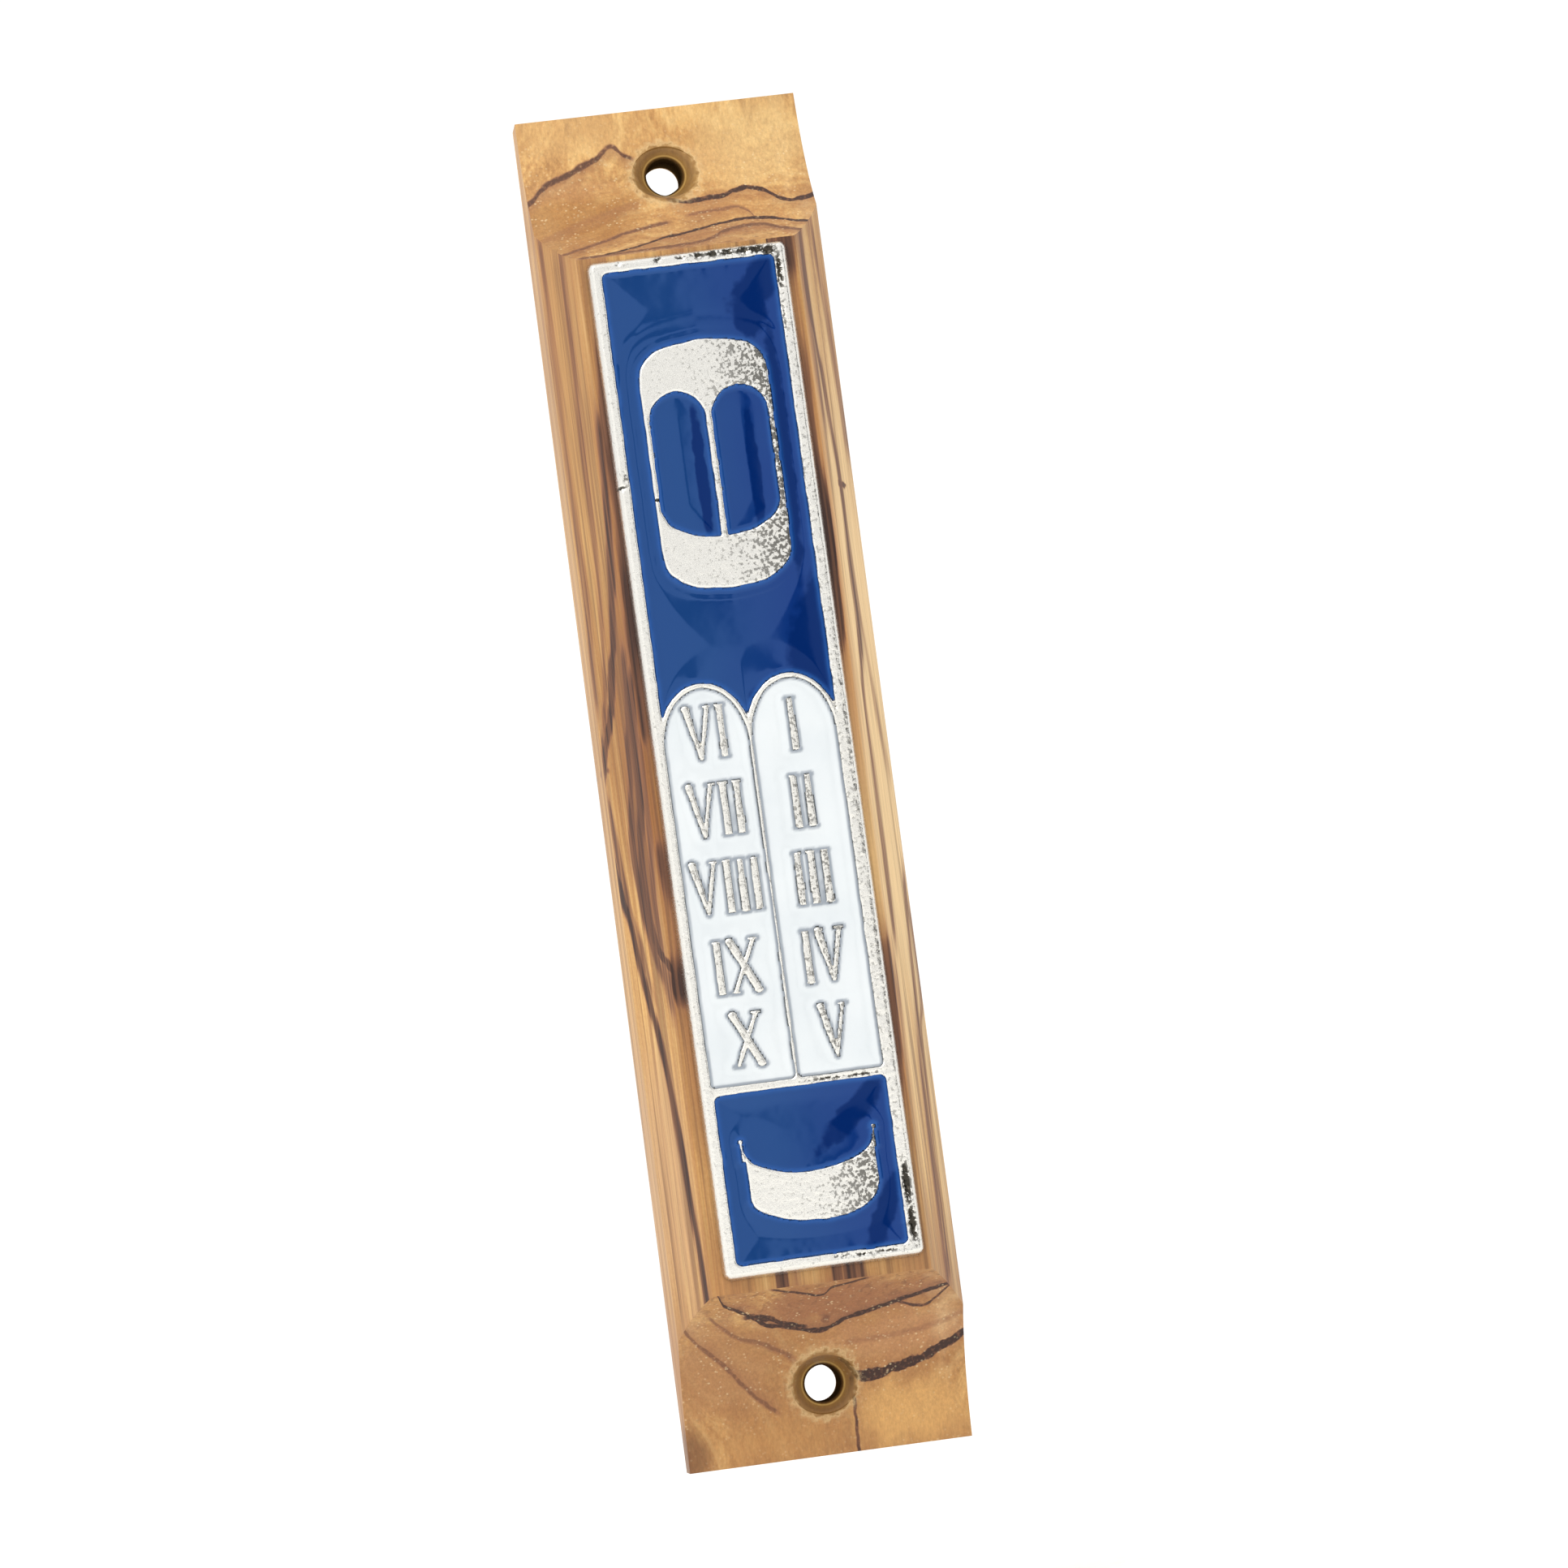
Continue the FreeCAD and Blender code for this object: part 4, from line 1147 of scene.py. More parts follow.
def make_studio_paper():
    """Matt white paper for the floor, with a faint tooth."""
    material, shader = new_material("matt_white_paper")
    place = wood_place(material)[0]
    tooth = add(material, "ShaderNodeTexNoise", {"Vector": place, "Scale": 0.8, "Detail": 2.0})
    base = add(material, "ShaderNodeValToRGB", {"Fac": tooth}, stops=[(0.3, "#F6F6F4"), (0.7, "#FBFBFA")])
    link(material, shader, {"Base Color": base, "Roughness": 0.9})
    return material


# ---- Mesh helpers ----


def new_piece(name, mesh, material, body):
    """Makes a mesh a piece of the object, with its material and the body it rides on."""
    piece = bpy.data.objects.new(name, mesh)
    bpy.context.scene.collection.objects.link(piece)
    mesh.materials.clear()
    mesh.materials.append(material)
    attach(piece, body)
    return piece


def apply_modifiers(piece):
    """Replaces the piece's mesh with the one its modifiers give."""
    bpy.context.view_layer.update()
    graph = bpy.context.evaluated_depsgraph_get()
    mesh = bpy.data.meshes.new_from_object(piece.evaluated_get(graph))
    piece.modifiers.clear()
    piece.data = mesh
    return piece


def soften_edges(piece, radius, steps, angle):
    """Rounds every edge sharper than an angle, as sanding does."""
    bevel = piece.modifiers.new("sanded_edges", "BEVEL")
    bevel.width = radius * MM
    bevel.segments = steps
    bevel.limit_method = "ANGLE"
    bevel.angle_limit = math.radians(angle)
    bevel.use_clamp_overlap = True
    bevel.harden_normals = False
    return apply_modifiers(piece)


def shade_smooth(mesh, angle):
    """Smooth shading, with edges sharper than an angle kept crisp."""
    mesh.polygons.foreach_set("use_smooth", [True] * len(mesh.polygons))
    mesh.set_sharp_from_angle(angle=math.radians(angle))


def welded_copy(node):
    """A closed copy of a node's mesh, with the flat faces' inner edges dissolved."""
    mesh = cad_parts[node].data.copy()
    work = bmesh.new()
    work.from_mesh(mesh)
    bmesh.ops.remove_doubles(work, verts=work.verts, dist=0.001 * MM)
    bmesh.ops.dissolve_limit(work, angle_limit=math.radians(0.4), verts=work.verts, edges=work.edges)
    work.to_mesh(mesh)
    work.free()
    return mesh


# ---- Relief of the plaque: signed distances in the plaque's own X and Z, in millimetres ----


def rounded_box(x, z, left, right, bottom, top, corner):
    """Distance outside a box with rounded corners, negative inside."""
    across = np.abs(x - (left + right) / 2) - (right - left) / 2 + corner
    along = np.abs(z - (bottom + top) / 2) - (top - bottom) / 2 + corner
    outer = np.hypot(np.maximum(across, 0), np.maximum(along, 0))
    return outer + np.minimum(np.maximum(across, along), 0) - corner


def polygon(x, z, outline):
    """Distance outside a closed outline, negative inside."""
    best = np.full(x.shape, 1e9)
    inside = np.zeros(x.shape, bool)
    for (x0, z0), (x1, z1) in zip(outline, outline[1:] + outline[:1]):
        run, rise = x1 - x0, z1 - z0
        share = ((x - x0) * run + (z - z0) * rise) / max(run * run + rise * rise, 1e-9)
        share = np.clip(share, 0, 1)
        best = np.minimum(best, np.hypot(x - x0 - share * run, z - z0 - share * rise))
        if z0 != z1:
            crosses = (z0 > z) != (z1 > z)
            inside ^= crosses & (x < x0 + (z - z0) * run / rise)
    return np.where(inside, -best, best)


def stroke(x, z, start, end, start_half, end_half):
    """Distance outside a straight stroke that tapers from one half width to another."""
    run, rise = end[0] - start[0], end[1] - start[1]
    share = np.clip(((x - start[0]) * run + (z - start[1]) * rise) / (run * run + rise * rise), 0, 1)
    half = start_half + (end_half - start_half) * share
    return np.hypot(x - start[0] - share * run, z - start[1] - share * rise) - half


def smooth_line(points, steps=10):
    """Points along a smooth curve through the given ones."""
    known = [points[0], *points, points[-1]]
    line = []
    for a, b, c, d in zip(known, known[1:], known[2:], known[3:]):
        for step in range(steps):
            t = step / steps
            weights = (
                -0.5 * t + t * t - 0.5 * t**3,
                1 - 2.5 * t * t + 1.5 * t**3,
                0.5 * t + 2 * t * t - 1.5 * t**3,
                -0.5 * t * t + 0.5 * t**3,
            )
            corner = zip(weights, (a, b, c, d))
            mixed = [w * np.array(p) for w, p in corner]
            line.append(tuple(float(v) for v in sum(mixed)))
    line.append(tuple(points[-1]))
    return line


def speckle(x, z, cell, seed):
    """Smooth noise between -1 and 1 with bumps about one cell across."""
    size = 512
    table = np.random.RandomState(seed).uniform(-1, 1, (size, size))
    across, along = x / cell + 97.3, z / cell + 251.7
    i, j = np.floor(across).astype(int), np.floor(along).astype(int)
    u, v = across - i, along - j
    u, v = u * u * (3 - 2 * u), v * v * (3 - 2 * v)
    i, j, i1, j1 = i % size, j % size, (i + 1) % size, (j + 1) % size
    near = table[i, j] * (1 - u) + table[i1, j] * u
    far = table[i, j1] * (1 - u) + table[i1, j1] * u
    return near * (1 - v) + far * v


def bell(distance, width):
    """1 at no distance, falling smoothly to 0 within a few widths."""
    return np.exp(-((distance / width) ** 2))


# The plaque's fields, tablets and bars: (left, right, bottom, top).
UPPER_FIELD = (-7.45, 7.35, 1.0, 43.0)
LOWER_FIELD = (-7.4, 7.25, -43.0, -28.65)
LEFT_TABLET = (-7.55, -0.45, -27.7, 1.4)
RIGHT_TABLET = (0.05, 7.15, -27.7, 1.4)
ARCH_RISE = 4.9
ARCH_LINE = 0.68
EMBLEM_OUTLINE = smooth_line(
    [(0.0, 14.6), (3.0, 15.0), (5.0, 16.2), (5.65, 17.6), (5.75, 20.0)], 6
) + smooth_line([(5.75, 32.6), (5.5, 34.4), (4.6, 35.6), (3.0, 36.25), (0.0, 36.65)], 6)
EMBLEM_OUTLINE += [(-x, z) for x, z in reversed(EMBLEM_OUTLINE)]
WINDOW_SILL = smooth_line([(0.4, 19.4), (2.0, 19.6), (3.0, 19.9), (4.5, 20.8), (5.05, 22.0)], 6)
WINDOW_HEAD_UP = 29.75
WINDOW_HALF = 2.325
CRESCENT_OUTER = [
    (-5.75, -33.5), (-5.65, -36.5), (-5.6, -37.8), (-5.0, -38.8), (-3.0, -39.75), (0.0, -40.2),
]
CRESCENT_OUTER += [(3.0, -39.95), (5.0, -38.9), (5.7, -37.5), (5.7, -36.0), (5.75, -33.5)]
CRESCENT_INNER = [(5.5, -33.5), (5.0, -34.3), (4.0, -35.0), (2.0, -35.55), (0.0, -35.75), (-2.0, -35.6)]
CRESCENT_INNER += [(-4.0, -35.0), (-5.0, -34.4), (-5.5, -33.4)]
HORN_TIPS = ((-5.8, -32.65), (5.7, -32.75))

NUMERAL_HEIGHT = 4.9
NUMERAL_STROKE = 0.46
HAIRLINE = 0.31
NUMERAL_GAP = 0.34
NUMERAL_WIDTHS = {"I": 0.86, "V": 2.5, "X": 2.8}
RIGHT_NUMERALS = (("I", 2.4), ("II", -4.3), ("III", -10.95), ("IV", -17.7), ("V", -24.2))
LEFT_NUMERALS = (("VI", 2.6), ("VII", -4.1), ("VIII", -10.8), ("IX", -17.7), ("X", -24.0))
RIGHT_COLUMN = 3.55
LEFT_COLUMN = -4.0


def arch_head(x, z, tablet, grow):
    """Distance outside a tablet with an elliptical head, grown by some width."""
    left, right, bottom, spring = tablet
    middle, half = (left + right) / 2, (right - left) / 2
    lower = rounded_box(x, z, left - grow, right + grow, bottom - grow, spring + 4 * half, 0.3)
    wide, tall = half + grow, ARCH_RISE + grow
    u, v = (x - middle) / wide, np.maximum(z - spring, 0) / tall
    reach = np.hypot(u, v)
    slope = np.hypot(u / wide, v / tall) / np.maximum(reach, 1e-6)
    upper = (reach - 1) * reach / np.maximum(slope, 1e-6)
    return np.where(z > spring, upper, lower)


def emblem(x, z):
    """An arched double window with a bowl-shaped sill, standing in the upper field."""
    shape = polygon(x, z, EMBLEM_OUTLINE)
    for side in (-1, 1):
        sill = [(side * px, pz) for px, pz in WINDOW_SILL]
        middle = 0.4 + WINDOW_HALF
        head = []
        for step in range(13):
            turn = math.pi * step / 12
            px = middle + WINDOW_HALF * math.cos(turn)
            head.append((side * px, WINDOW_HEAD_UP + WINDOW_HALF * math.sin(turn)))
        shape = np.maximum(shape, -polygon(x, z, sill + head))
    return shape


def crescent(x, z):
    """A crescent with a bead on each horn, standing in the lower field."""
    outline = smooth_line(CRESCENT_OUTER, 5) + smooth_line(CRESCENT_INNER, 5)
    shape = polygon(x, z, outline)
    for tip in HORN_TIPS:
        shape = np.minimum(shape, np.hypot(x - tip[0], z - tip[1]) - 0.3)
        shape = np.minimum(shape, stroke(x, z, tip, (tip[0] * 0.98, tip[1] - 1.6), 0.2, 0.3))
    return shape


def letter_i(x, z, left, middle):
    """A single upright with small feet, starting at left."""
    half = NUMERAL_HEIGHT / 2 - NUMERAL_STROKE
    centre = left + NUMERAL_WIDTHS["I"] / 2
    shape = stroke(
        x,
        z,
        (centre, middle - half),
        (centre, middle + half),
        NUMERAL_STROKE,
        NUMERAL_STROKE * 0.9,
    )
    for end in (-1, 1):
        foot = middle + end * (NUMERAL_HEIGHT / 2 - 0.22)
        shape = np.minimum(shape, stroke(x, z, (centre - 0.34, foot), (centre + 0.34, foot), 0.2, 0.2))
    return shape


def letter_v(x, z, left, middle):
    """Two slanting strokes that meet at the foot."""
    width, half = NUMERAL_WIDTHS["V"], NUMERAL_HEIGHT / 2 - 0.3
    foot = (left + width / 2, middle - half)
    shape = stroke(x, z, (left + 0.35, middle + half), foot, NUMERAL_STROKE, 0.3)
    shape = np.minimum(shape, stroke(x, z, (left + width - 0.3, middle + half), foot, HAIRLINE, HAIRLINE))
    for centre in (left + 0.35, left + width - 0.3):
        ends = (centre - 0.35, middle + half + 0.08), (centre + 0.35, middle + half + 0.08)
        shape = np.minimum(shape, stroke(x, z, *ends, 0.2, 0.2))
    return shape


def letter_x(x, z, left, middle):
    """Two crossing strokes, one thick and one thin."""
    width, half = NUMERAL_WIDTHS["X"], NUMERAL_HEIGHT / 2 - 0.3
    inner, outer = left + 0.4, left + width - 0.4
    shape = stroke(x, z, (inner, middle + half), (outer, middle - half), NUMERAL_STROKE, NUMERAL_STROKE)
    shape = np.minimum(
        shape,
        stroke(x, z, (outer, middle + half), (inner, middle - half), HAIRLINE, HAIRLINE),
    )
    for centre in (inner, outer):
        for end in (-1, 1):
            level = middle + end * (half + 0.08)
            shape = np.minimum(
                shape,
                stroke(x, z, (centre - 0.35, level), (centre + 0.35, level), 0.2, 0.2),
            )
    return shape


LETTERS = {"I": letter_i, "V": letter_v, "X": letter_x}


def numerals(x, z):
    """The Roman numerals I to V on the right tablet and VI to X on the left."""
    shape = np.full(x.shape, 1e9)
    for column, rows in ((RIGHT_COLUMN, RIGHT_NUMERALS), (LEFT_COLUMN, LEFT_NUMERALS)):
        for word, middle in rows:
            width = sum(NUMERAL_WIDTHS[w] for w in word) + NUMERAL_GAP * (len(word) - 1)
            left = column - width / 2
            for letter in word:
                shape = np.minimum(shape, LETTERS[letter](x, z, left, middle))
                left += NUMERAL_WIDTHS[letter] + NUMERAL_GAP
    return shape


def open_fields(x, z):
    """Distance outside the blue and the white recesses, negative inside, before anything stands in them."""
    arches = np.minimum(
        arch_head(x, z, LEFT_TABLET, ARCH_LINE), arch_head(x, z, RIGHT_TABLET, ARCH_LINE)
    )
    upper = np.maximum(rounded_box(x, z, *UPPER_FIELD, 0.4), -arches)
    lower = rounded_box(x, z, *LOWER_FIELD, 0.4)
    white = np.minimum(arch_head(x, z, LEFT_TABLET, 0), arch_head(x, z, RIGHT_TABLET, 0))
    return upper, lower, white


def raised_metal(x, z):
    """Distance outside all raised metal, negative inside it. Its edges wander a little, as cast ones do."""
    upper, lower, white = open_fields(x, z)
    standing = np.minimum(np.minimum(emblem(x, z), crescent(x, z)), numerals(x, z))
    holes = np.minimum(np.minimum(upper, lower), white)
    metal = np.minimum(-holes, standing)
    return metal + 0.045 * speckle(x, z, 1.1, SEED) + 0.02 * speckle(x, z, 0.4, SEED + 1)


# How the casting's walls and edges run.
WALL_FOOT = 0.14
WALL_TOP = 0.26
RIM_FLAWS = [
    # (x, z, half width, half length, depth)
    (-8.3, 24.4, 0.4, 0.2, 0.16),
    (-7.8, 25.3, 0.25, 0.5, 0.1),
    (-5.4, 23.0, 0.4, 0.16, 0.2),
    (7.9, -38.0, 0.28, 1.7, 0.24),
    (7.95, -41.4, 0.26, 1.3, 0.26),
    (7.8, 41.6, 0.22, 1.5, 0.2),
    (7.7, 37.5, 0.1, 1.6, 0.12),
    (-2.6, 43.8, 0.3, 0.3, 0.16),
    (-6.0, 43.8, 0.2, 0.15, 0.12),
    (-0.6, 43.7, 0.5, 0.16, 0.14),
    (0.9, 43.75, 0.6, 0.26, 0.18),
    (2.2, 43.75, 0.6, 0.28, 0.2),
    (3.5, 43.75, 0.6, 0.28, 0.22),
    (4.8, 43.75, 0.6, 0.3, 0.24),
    (6.0, 43.7, 0.6, 0.3, 0.26),
    (7.1, 43.5, 0.5, 0.35, 0.26),
    (1.5, -43.4, 0.7, 0.14, 0.14),
    (3.4, -43.5, 0.9, 0.15, 0.16),
    (5.4, -43.45, 0.9, 0.15, 0.16),
    (2.5, -28.2, 1.6, 0.14, 0.16),
    (5.2, -28.25, 1.5, 0.14, 0.16),
    (8.2, 1.0, 0.1, 14.0, 0.08),
    (8.25, -20.0, 0.1, 9.0, 0.08),
]


def metal_height(x, z):
    """Height of the metal's front above its back."""
    inward = -raised_metal(x, z)
    share = np.clip((inward + WALL_FOOT) / (WALL_FOOT + WALL_TOP), 0, 1)
    wall = np.sin(share * math.pi / 2) ** 1.3
    height = RECESS_FLOOR + (PLAQUE_THICKNESS - RECESS_FLOOR) * wall
    outer = -rounded_box(
        x, z, -PLAQUE_HALF_WIDTH, PLAQUE_HALF_WIDTH, -PLAQUE_HALF_HEIGHT, PLAQUE_HALF_HEIGHT, PLAQUE_CORNER
    )
    draft = np.clip(outer / 0.52, 0, 1)
    height *= np.sin(draft * math.pi / 2) ** 0.75
    rough = 0.012 * speckle(x, z, 0.55, SEED + 2) + 0.01 * speckle(x, z, 0.28, SEED + 3)
    rough *= 0.6 + 0.9 * np.clip((x + 3) / 10, 0, 1)
    for flaw_x, flaw_z, half_width, half_length, depth in RIM_FLAWS:
        spot = bell(np.hypot((x - flaw_x) / half_width, (z - flaw_z) / half_length), 1.0)
        ragged = 0.75 + 0.5 * speckle(x, z, 0.22, SEED + 4)
        height -= depth * spot * ragged * wall
    height += rough * wall * np.clip(outer / 0.3, 0, 1) - 0.02
    return np.clip(height, 0.05, PLAQUE_THICKNESS)


def pits_and_dark_reflection(x, z):
    """How dark-speckled the casting is: real pinholes everywhere, with more on the right of each raised shape
    and on the numerals as painted dark reflection and shade.
    """
    rightward = np.clip((x + 3.0) / 9.0, 0, 1)
    rightward = rightward * rightward * (3 - 2 * rightward)
    upper, lower, white = open_fields(x, z)
    on_rim = np.clip(np.minimum(np.minimum(upper, lower), white) / 0.25, 0, 1)
    # Extra on the numerals and much more to the right: painted dark reflection and shade.
    amount = np.where(numerals(x, z) < 0.3, 0.3 + 0.3 * rightward, rightward)
    amount *= 1 - 0.75 * on_rim
    for flaw_x, flaw_z, half_width, half_length, depth in RIM_FLAWS:
        away = np.hypot((x - flaw_x) / half_width, (z - flaw_z) / half_length)
        amount = np.maximum(amount, 9 * depth * bell(away, 1.25))
    return np.clip(amount, 0, 2)


def enamel_height(x, z, level, pull, sag):
    """Height of an enamel's surface: drawn up where it wets the metal, and sagging between."""
    gap = np.maximum(raised_metal(x, z), 0)
    rise = pull * np.exp(-gap / 0.28)
    dip = sag * (1 - np.exp(-gap / 3.0))
    wave = 0.005 * speckle(x, z, 4.5, SEED + 5) + 0.002 * speckle(x, z, 2.0, SEED + 6)
    from_emblem = polygon(x, z, EMBLEM_OUTLINE)
    halo = 0.022 * bell(from_emblem - HALO_GAP, 0.14)
    above = np.clip((z - EMBLEM_SHOULDER) / 2.0, 0, 1)
    arc = 0.03 * bell(from_emblem - ARC_GAP, 0.35) * above
    return level + rise - dip + wave + halo + arc


def grid(left, right, bottom, top, step):
    """Coordinates of a regular grid over a rectangle."""
    columns = int(round((right - left) / step)) + 1
    rows = int(round((top - bottom) / step)) + 1
    return np.meshgrid(np.linspace(left, right, columns), np.linspace(bottom, top, rows), indexing="ij")


def to_row_frame(x, z, height):
    """Plaque coordinates and a height above its back, as metres in the case's frame."""
    turned_x = x * math.cos(PLAQUE_LEAN) + z * math.sin(PLAQUE_LEAN) + PLAQUE_CENTRE[0]
    turned_z = -x * math.sin(PLAQUE_LEAN) + z * math.cos(PLAQUE_LEAN) + PLAQUE_CENTRE[2]
    return np.stack([turned_x, GLUE_LOW[1] - height, turned_z], -1) * MM


def relief_solid(name, x, z, height, back, keep, mark, shade):
    """A closed mesh with a relief front over the kept grid cells, a flat back, and walls between.

    The shade is stored on its points under the name in mark.
    """
    columns, rows = x.shape
    count = columns * rows
    index = np.arange(count).reshape(columns, rows)
    cells = keep[:-1, :-1] & keep[1:, :-1] & keep[1:, 1:] & keep[:-1, 1:]
    a, b, c, d = index[:-1, :-1], index[1:, :-1], index[1:, 1:], index[:-1, 1:]
    front = np.stack([a[cells], b[cells], c[cells], d[cells]], -1)
    rear = front[:, ::-1] + count
    edges = np.concatenate([front[:, [i, (i + 1) % 4]] for i in range(4)])
    key = edges[:, 0].astype(np.int64) * count + edges[:, 1]
    twin = edges[:, 1].astype(np.int64) * count + edges[:, 0]
    rim = edges[~np.isin(key, twin)]
    walls = np.stack([rim[:, 1], rim[:, 0], rim[:, 0] + count, rim[:, 1] + count], -1)
    quads = np.concatenate([front, rear, walls])
    used = np.unique(quads)
    renumber = np.zeros(2 * count, int)
    renumber[used] = np.arange(len(used))
    places = np.concatenate(
        [
            to_row_frame(x, z, height).reshape(-1, 3),
            to_row_frame(x, z, np.full(x.shape, back)).reshape(-1, 3),
        ]
    )[used]
    mesh = bpy.data.meshes.new(name)
    mesh.from_pydata(places.tolist(), [], renumber[quads].tolist())
    layer = mesh.attributes.new(mark, "FLOAT", "POINT")
    doubled = np.concatenate([shade.reshape(-1), shade.reshape(-1)])[used]
    layer.data.foreach_set("value", doubled.astype(np.float32))
    mesh.polygons.foreach_set("use_smooth", [True] * len(mesh.polygons))
    mesh.validate()
    return mesh


# Faint ridges in the blue enamel, where it set in more than one coat: one close round the emblem, one
# above it.
HALO_GAP = 0.75
ARC_GAP = 2.0
EMBLEM_SHOULDER = 33.0
METAL_STEP = 0.1
ENAMEL_STEP = 0.16


def build_plaque(material):
    """The cast metal plaque: rim, bars, tablets' outlines, emblem, crescent and numerals in one relief."""
    x, z = grid(
        -PLAQUE_HALF_WIDTH, PLAQUE_HALF_WIDTH, -PLAQUE_HALF_HEIGHT, PLAQUE_HALF_HEIGHT, METAL_STEP
    )
    outer = rounded_box(
        x, z, -PLAQUE_HALF_WIDTH, PLAQUE_HALF_WIDTH, -PLAQUE_HALF_HEIGHT, PLAQUE_HALF_HEIGHT, PLAQUE_CORNER
    )
    mesh = relief_solid("cast_plaque", x, z, metal_height(x, z), 0.0, outer < 0.02, "pits_and_reflection", pits_and_dark_reflection(x, z))
    piece = new_piece("cast_plaque", mesh, material, "case")
    thin = piece.modifiers.new("fewer_faces", "DECIMATE")
    thin.ratio = 0.29
    apply_modifiers(piece)
    shade_smooth(piece.data, 60)
    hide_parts("metal_plaque")
    return piece


def build_enamel(name, node, region, material, slot, level, pull, sag):
    """One pool of enamel, filling a recess and reaching just into the metal round it."""
    low, high = box_mm(node)
    margin = 0.5
    x, z = grid(
        low[0] - PLAQUE_CENTRE[0] - margin,
        high[0] - PLAQUE_CENTRE[0] + margin,
        low[2] - PLAQUE_CENTRE[2] - margin,
        high[2] - PLAQUE_CENTRE[2] + margin,
        ENAMEL_STEP,
    )
    gap = raised_metal(x, z)
    height = enamel_height(x, z, level, pull, sag)
    height = np.minimum(height, PLAQUE_THICKNESS - 0.03)
    keep = (gap > -0.2) & region(x, z)
    # Closeness to the raised metal. The materials paint the blue lighter and the white greyer there: partly
    # thin enamel, partly painted highlight and shade.
    near = bell(np.maximum(gap, 0), 0.2 if "blue" in name else 0.11)
    mesh = relief_solid(name, x, z, height, RECESS_FLOOR - 0.05, keep, "near_metal", near)
    piece = new_piece(name, mesh, material, "case")
    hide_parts(node)
    return piece


def build_enamels(blue, white):
    """The six pools of enamel."""
    edge = 0.3

    def around_emblem(x, z):
        upper = open_fields(x, z)[0]
        return (upper < edge) & (polygon(x, z, EMBLEM_OUTLINE) > -0.35)

    def in_window(side):
        def region(x, z):
            return (side * x > 0.1) & (polygon(x, z, EMBLEM_OUTLINE) < -0.45) & (z < 33) & (z > 18.5)

        return region

    def on_tablet(tablet):
        return lambda x, z: arch_head(x, z, tablet, 0) < 0.22

    def around_crescent(x, z):
        return rounded_box(x, z, *LOWER_FIELD, 0.4) < edge

    blue_way = (BLUE_LEVEL + 0.03, 0.1, 0.13)
    white_way = (WHITE_LEVEL, 0.07, 0.02)
    build_enamel("blue_pool_upper", "enamel_blue_upper", around_emblem, blue, "blue_enamel", *blue_way)
    build_enamel(
        "blue_pool_window_left",
        "enamel_blue_emblem_left",
        in_window(-1),
        blue,
        "blue_enamel",
        *blue_way,
    )
    build_enamel(
        "blue_pool_window_right",
        "enamel_blue_emblem_right",
        in_window(1),
        blue,
        "blue_enamel",
        *blue_way,
    )
    build_enamel("blue_pool_lower", "enamel_blue_lower", around_crescent, blue, "blue_enamel", *blue_way)
    build_enamel(
        "white_pool_left", "enamel_white_left", on_tablet(LEFT_TABLET), white, "white_enamel", *white_way
    )
    build_enamel(
        "white_pool_right", "enamel_white_right", on_tablet(RIGHT_TABLET), white, "white_enamel", *white_way
    )


# ---- Wood, scroll, wrap ----


def build_wood_block(material):
    """The block, with the edges that the sander rounded."""
    mesh = welded_copy("wood_body")
    piece = new_piece("olive_block", mesh, material, "case")
    soften_edges(piece, 0.28, 3, 28)
    shade_smooth(piece.data, 35)
    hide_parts("wood_body")
    return piece


def build_cover(material):
    """The slip that closes the pocket."""
    mesh = welded_copy("back_cover")
    piece = new_piece("pocket_cover", mesh, material, "cover")
    soften_edges(piece, 0.22, 3, 28)
    shade_smooth(piece.data, 35)
    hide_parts("back_cover")
    return piece


SHEET_THICKNESS = 0.11
ROLL_PITCH = 0.24
ROLL_CORE = 1.25


def build_scroll(material):
    """The parchment, rolled from its end: one long sheet in many turns, its edge a little uneven."""
    middle = (SCROLL_LOW + SCROLL_HIGH) / 2
    radius = (SCROLL_HIGH[0] - SCROLL_LOW[0]) / 2 - 0.02
    turns = (radius - ROLL_CORE) / ROLL_PITCH
    steps = int(turns * 44)
    rng = np.random.RandomState(SEED + 7)
    uneven = np.interp(np.linspace(0, 1, steps + 1), np.linspace(0, 1, 24), rng.uniform(0, 0.7, 24))
    rows = 7
    work = bmesh.new()
    layers = []
    for step in range(steps + 1):
        turn = 2 * math.pi * turns * step / steps
        reach = radius - ROLL_PITCH * turn / (2 * math.pi)
        half = (SCROLL_HIGH[2] - SCROLL_LOW[2]) / 2 - uneven[step]
        ring = []
        for away in (reach, reach - SHEET_THICKNESS):
            column = []
            for row in range(rows):
                height = -half + 2 * half * row / (rows - 1)
                place = (
                    middle[0] + away * math.sin(turn),
                    middle[1] + away * math.cos(turn),
                    middle[2] + height,
                )
                column.append(work.verts.new(Vector(place) * MM))
            ring.append(column)
        layers.append(ring)
    for (outer, inner), (next_outer, next_inner) in zip(layers, layers[1:]):
        for row in range(rows - 1):
            work.faces.new((outer[row], outer[row + 1], next_outer[row + 1], next_outer[row]))
            work.faces.new((inner[row], next_inner[row], next_inner[row + 1], inner[row + 1]))
        work.faces.new((outer[0], next_outer[0], next_inner[0], inner[0]))
        work.faces.new((outer[-1], inner[-1], next_inner[-1], next_outer[-1]))
    for outer, inner in (layers[0], layers[-1]):
        for row in range(rows - 1):
            work.faces.new((outer[row], inner[row], inner[row + 1], outer[row + 1]))
    bmesh.ops.recalc_face_normals(work, faces=work.faces)
    mesh = bpy.data.meshes.new("rolled_parchment")
    work.to_mesh(mesh)
    work.free()
    shade_smooth(mesh, 40)
    piece = new_piece("rolled_parchment", mesh, material, "scroll")
    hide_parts("parchment_scroll")
    return piece


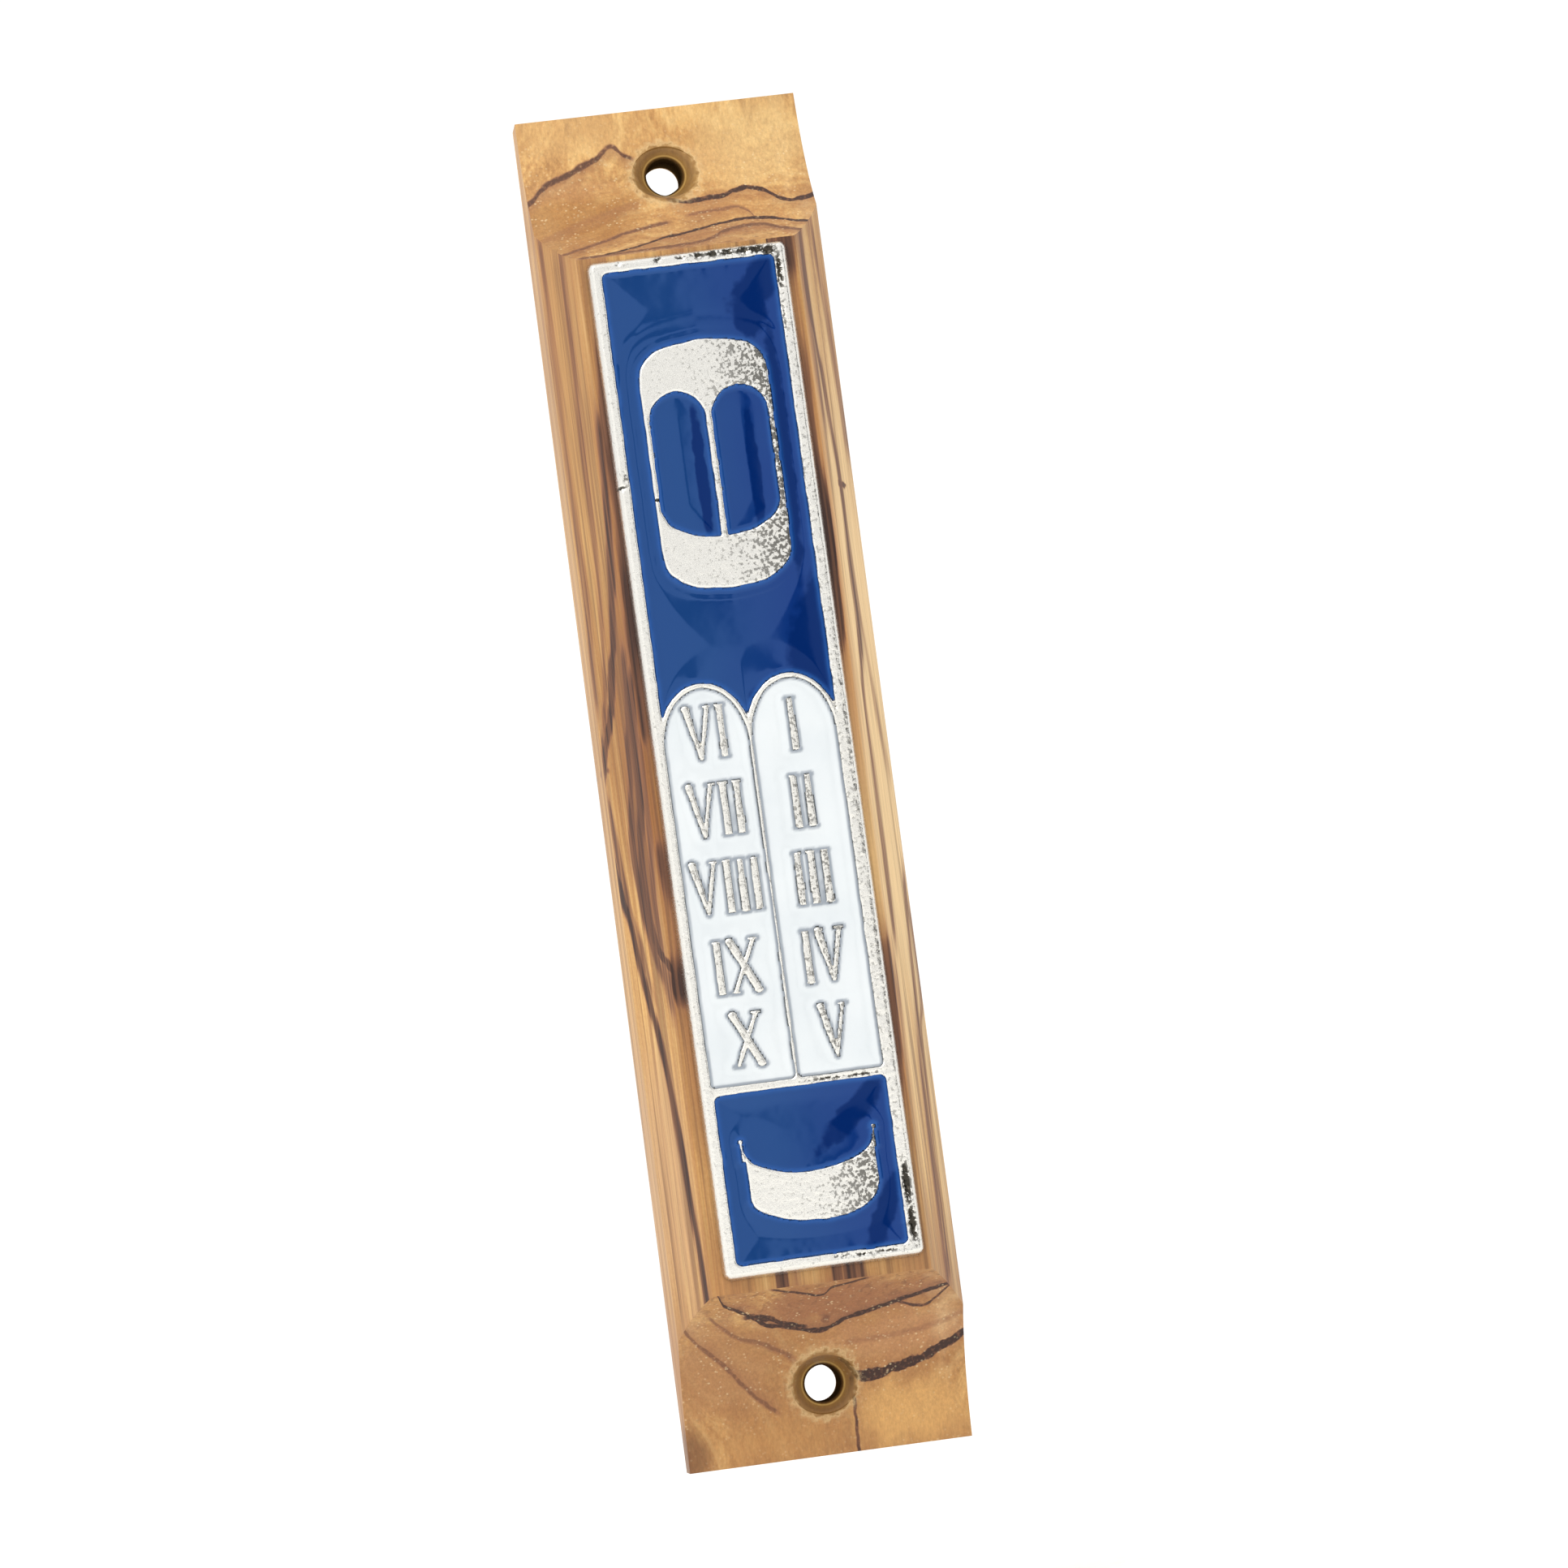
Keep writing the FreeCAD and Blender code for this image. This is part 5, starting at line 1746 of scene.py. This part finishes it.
def build_wrap(material):
    """The clear film round the parchment, creased along its length, with pleated ends folded in."""
    middle = (WRAP_LOW + WRAP_HIGH) / 2
    radius = (WRAP_HIGH[0] - WRAP_LOW[0]) / 2 - 0.06
    inner = (SCROLL_HIGH[0] - SCROLL_LOW[0]) / 2 + 0.05
    half = (WRAP_HIGH[2] - WRAP_LOW[2]) / 2
    around, rows = 96, 61
    rng = np.random.RandomState(SEED + 8)
    pleats = rng.uniform(-1, 1, 18)
    # Rings from the lower fold to the upper fold: (height, share of the full radius).
    rings = [(-half + 0.35, 0.3), (-half + 0.12, 0.62), (-half + 0.1, 0.9)]
    rings += [(height, 1.0) for height in np.linspace(-half + 0.6, half - 0.6, rows)]
    rings += [(half - 0.1, 0.9), (half - 0.12, 0.62), (half - 0.35, 0.3)]
    work = bmesh.new()
    grid_rows = []
    for height, share in rings:
        row = []
        for step in range(around):
            turn = 2 * math.pi * step / around
            pleat = np.interp(step / around * 18 % 18, range(19), [*pleats, pleats[0]])
            crease = 0.5 + 0.5 * math.sin(3 * turn + height * 0.21 + 2 * math.sin(height * 0.13))
            if share == 1.0:
                reach = inner + (radius - inner) * (0.35 + 0.65 * crease)
                lift = 0.0
            else:
                reach = radius * share
                lift = 0.1 * pleat * (1 if height > 0 else -1)
            place = (
                middle[0] + reach * math.sin(turn),
                middle[1] + reach * math.cos(turn),
                middle[2] + height - abs(lift) * (1 if height > 0 else -1),
            )
            row.append(work.verts.new(Vector(place) * MM))
        grid_rows.append(row)
    for row, following in zip(grid_rows, grid_rows[1:]):
        for step in range(around):
            after = (step + 1) % around
            work.faces.new((row[step], row[after], following[after], following[step]))
    bmesh.ops.recalc_face_normals(work, faces=work.faces)
    mesh = bpy.data.meshes.new("clear_wrap")
    work.to_mesh(mesh)
    work.free()
    piece = new_piece("clear_wrap", mesh, material, "scroll")
    film = piece.modifiers.new("film_thickness", "SOLIDIFY")
    film.thickness = 0.04 * MM
    film.offset = -1.0
    apply_modifiers(piece)
    shade_smooth(piece.data, 50)
    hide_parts("scroll_wrap")
    return piece


# ---- Floor, light and camera ----

FLOOR_DROP = 14.0
CAMERA_PLACE = (-50.6, -543.1, -39.1)
CAMERA_TURN = (94.045, 7.511, -5.210)
LENS = 141.4
SENSOR = 36.0


def build_floor(material):
    """A wide sheet of white paper below the case."""
    reach = 6000.0
    level = WOOD_LOW[2] - FLOOR_DROP
    corners = [(-reach, -reach), (reach, -reach), (reach, reach), (-reach, reach)]
    mesh = bpy.data.meshes.new("paper_floor")
    mesh.from_pydata([Vector((x, y, level)) * MM for x, y in corners], [], [(0, 1, 2, 3)])
    mesh.materials.append(material)
    floor = bpy.data.objects.new("paper_floor", mesh)
    bpy.context.scene.collection.objects.link(floor)


def build_world():
    """An even white studio on all sides."""
    world = bpy.data.worlds.new("white_studio")
    world.use_nodes = True
    background = world.node_tree.nodes["Background"]
    background.inputs["Color"].default_value = linear("#FFFFFF")
    background.inputs["Strength"].default_value = 1.08
    bpy.context.scene.world = world


def add_softbox(name, place, aim, width, height, power, shade):
    """A soft area light at a place, facing a point."""
    data = bpy.data.lights.new(name, "AREA")
    data.shape = "RECTANGLE"
    data.size, data.size_y = width, height
    data.energy = power
    data.color = linear(shade)[:3]
    light = bpy.data.objects.new(name, data)
    bpy.context.scene.collection.objects.link(light)
    light.location = place
    light.rotation_euler = (Vector(aim) - Vector(place)).to_track_quat("-Z", "Y").to_euler()
    light.visible_camera = False
    return light


def add_card(name, place, width, height, shade):
    """A dark studio card that shows only in reflections, upright and facing the case."""
    material, shader = new_material(name)
    weave = add(material, "ShaderNodeTexNoise", {"Scale": 3.0})
    base = add(material, "ShaderNodeValToRGB", {"Fac": weave}, stops=[(0.3, shade), (0.7, shade)])
    link(material, shader, {"Base Color": base, "Roughness": 0.95})
    x, y, z = place
    corners = [(x - width / 2, z - height / 2), (x + width / 2, z - height / 2)]
    corners += [(x + width / 2, z + height / 2), (x - width / 2, z + height / 2)]
    mesh = bpy.data.meshes.new(name)
    mesh.from_pydata([(px, y, pz) for px, pz in corners], [], [(0, 1, 2, 3)])
    mesh.materials.append(material)
    card = bpy.data.objects.new(name, mesh)
    bpy.context.scene.collection.objects.link(card)
    card.visible_camera = False
    card.visible_diffuse = False
    card.visible_shadow = False
    return card


def build_lights():
    """A large softbox above and to the left, and dark cards for the metal and enamel to reflect."""
    add_softbox("key_softbox", (-0.7, -0.7, 1.0), (0, 0, 0), 0.9, 0.9, 9.0, "#FFFAF2")
    add_card("narrow_dark_card", (0.08, -1.2, 0.12), 0.05, 0.6, "#0A0A0A")
    add_card("wide_dark_card", (0.95, -1.0, 0.1), 0.8, 1.6, "#161616")


def build_camera():
    """The camera looks up a little from the left and is turned a little on its axis."""
    data = bpy.data.cameras.new("view_camera")
    data.lens = LENS
    data.sensor_width = SENSOR
    data.clip_start = 0.01
    camera = bpy.data.objects.new("view_camera", data)
    bpy.context.scene.collection.objects.link(camera)
    camera.location = Vector(CAMERA_PLACE) * MM
    camera.rotation_euler = Euler([math.radians(a) for a in CAMERA_TURN], "XYZ")
    bpy.context.scene.camera = camera


# ---- The whole case ----

build_wood_block(make_olive_wood())
build_cover(make_cover_wood())
build_plaque(make_nickel_plate())
build_enamels(make_blue_enamel(), make_white_enamel())
build_scroll(make_parchment())
build_wrap(make_clear_film())
glue_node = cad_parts["plaque_adhesive"]
glue_node.data.materials.clear()
glue_node.data.materials.append(make_glue())

build_floor(make_studio_paper())
build_world()
build_lights()
build_camera()
bpy.context.scene.view_settings.view_transform = "Standard"
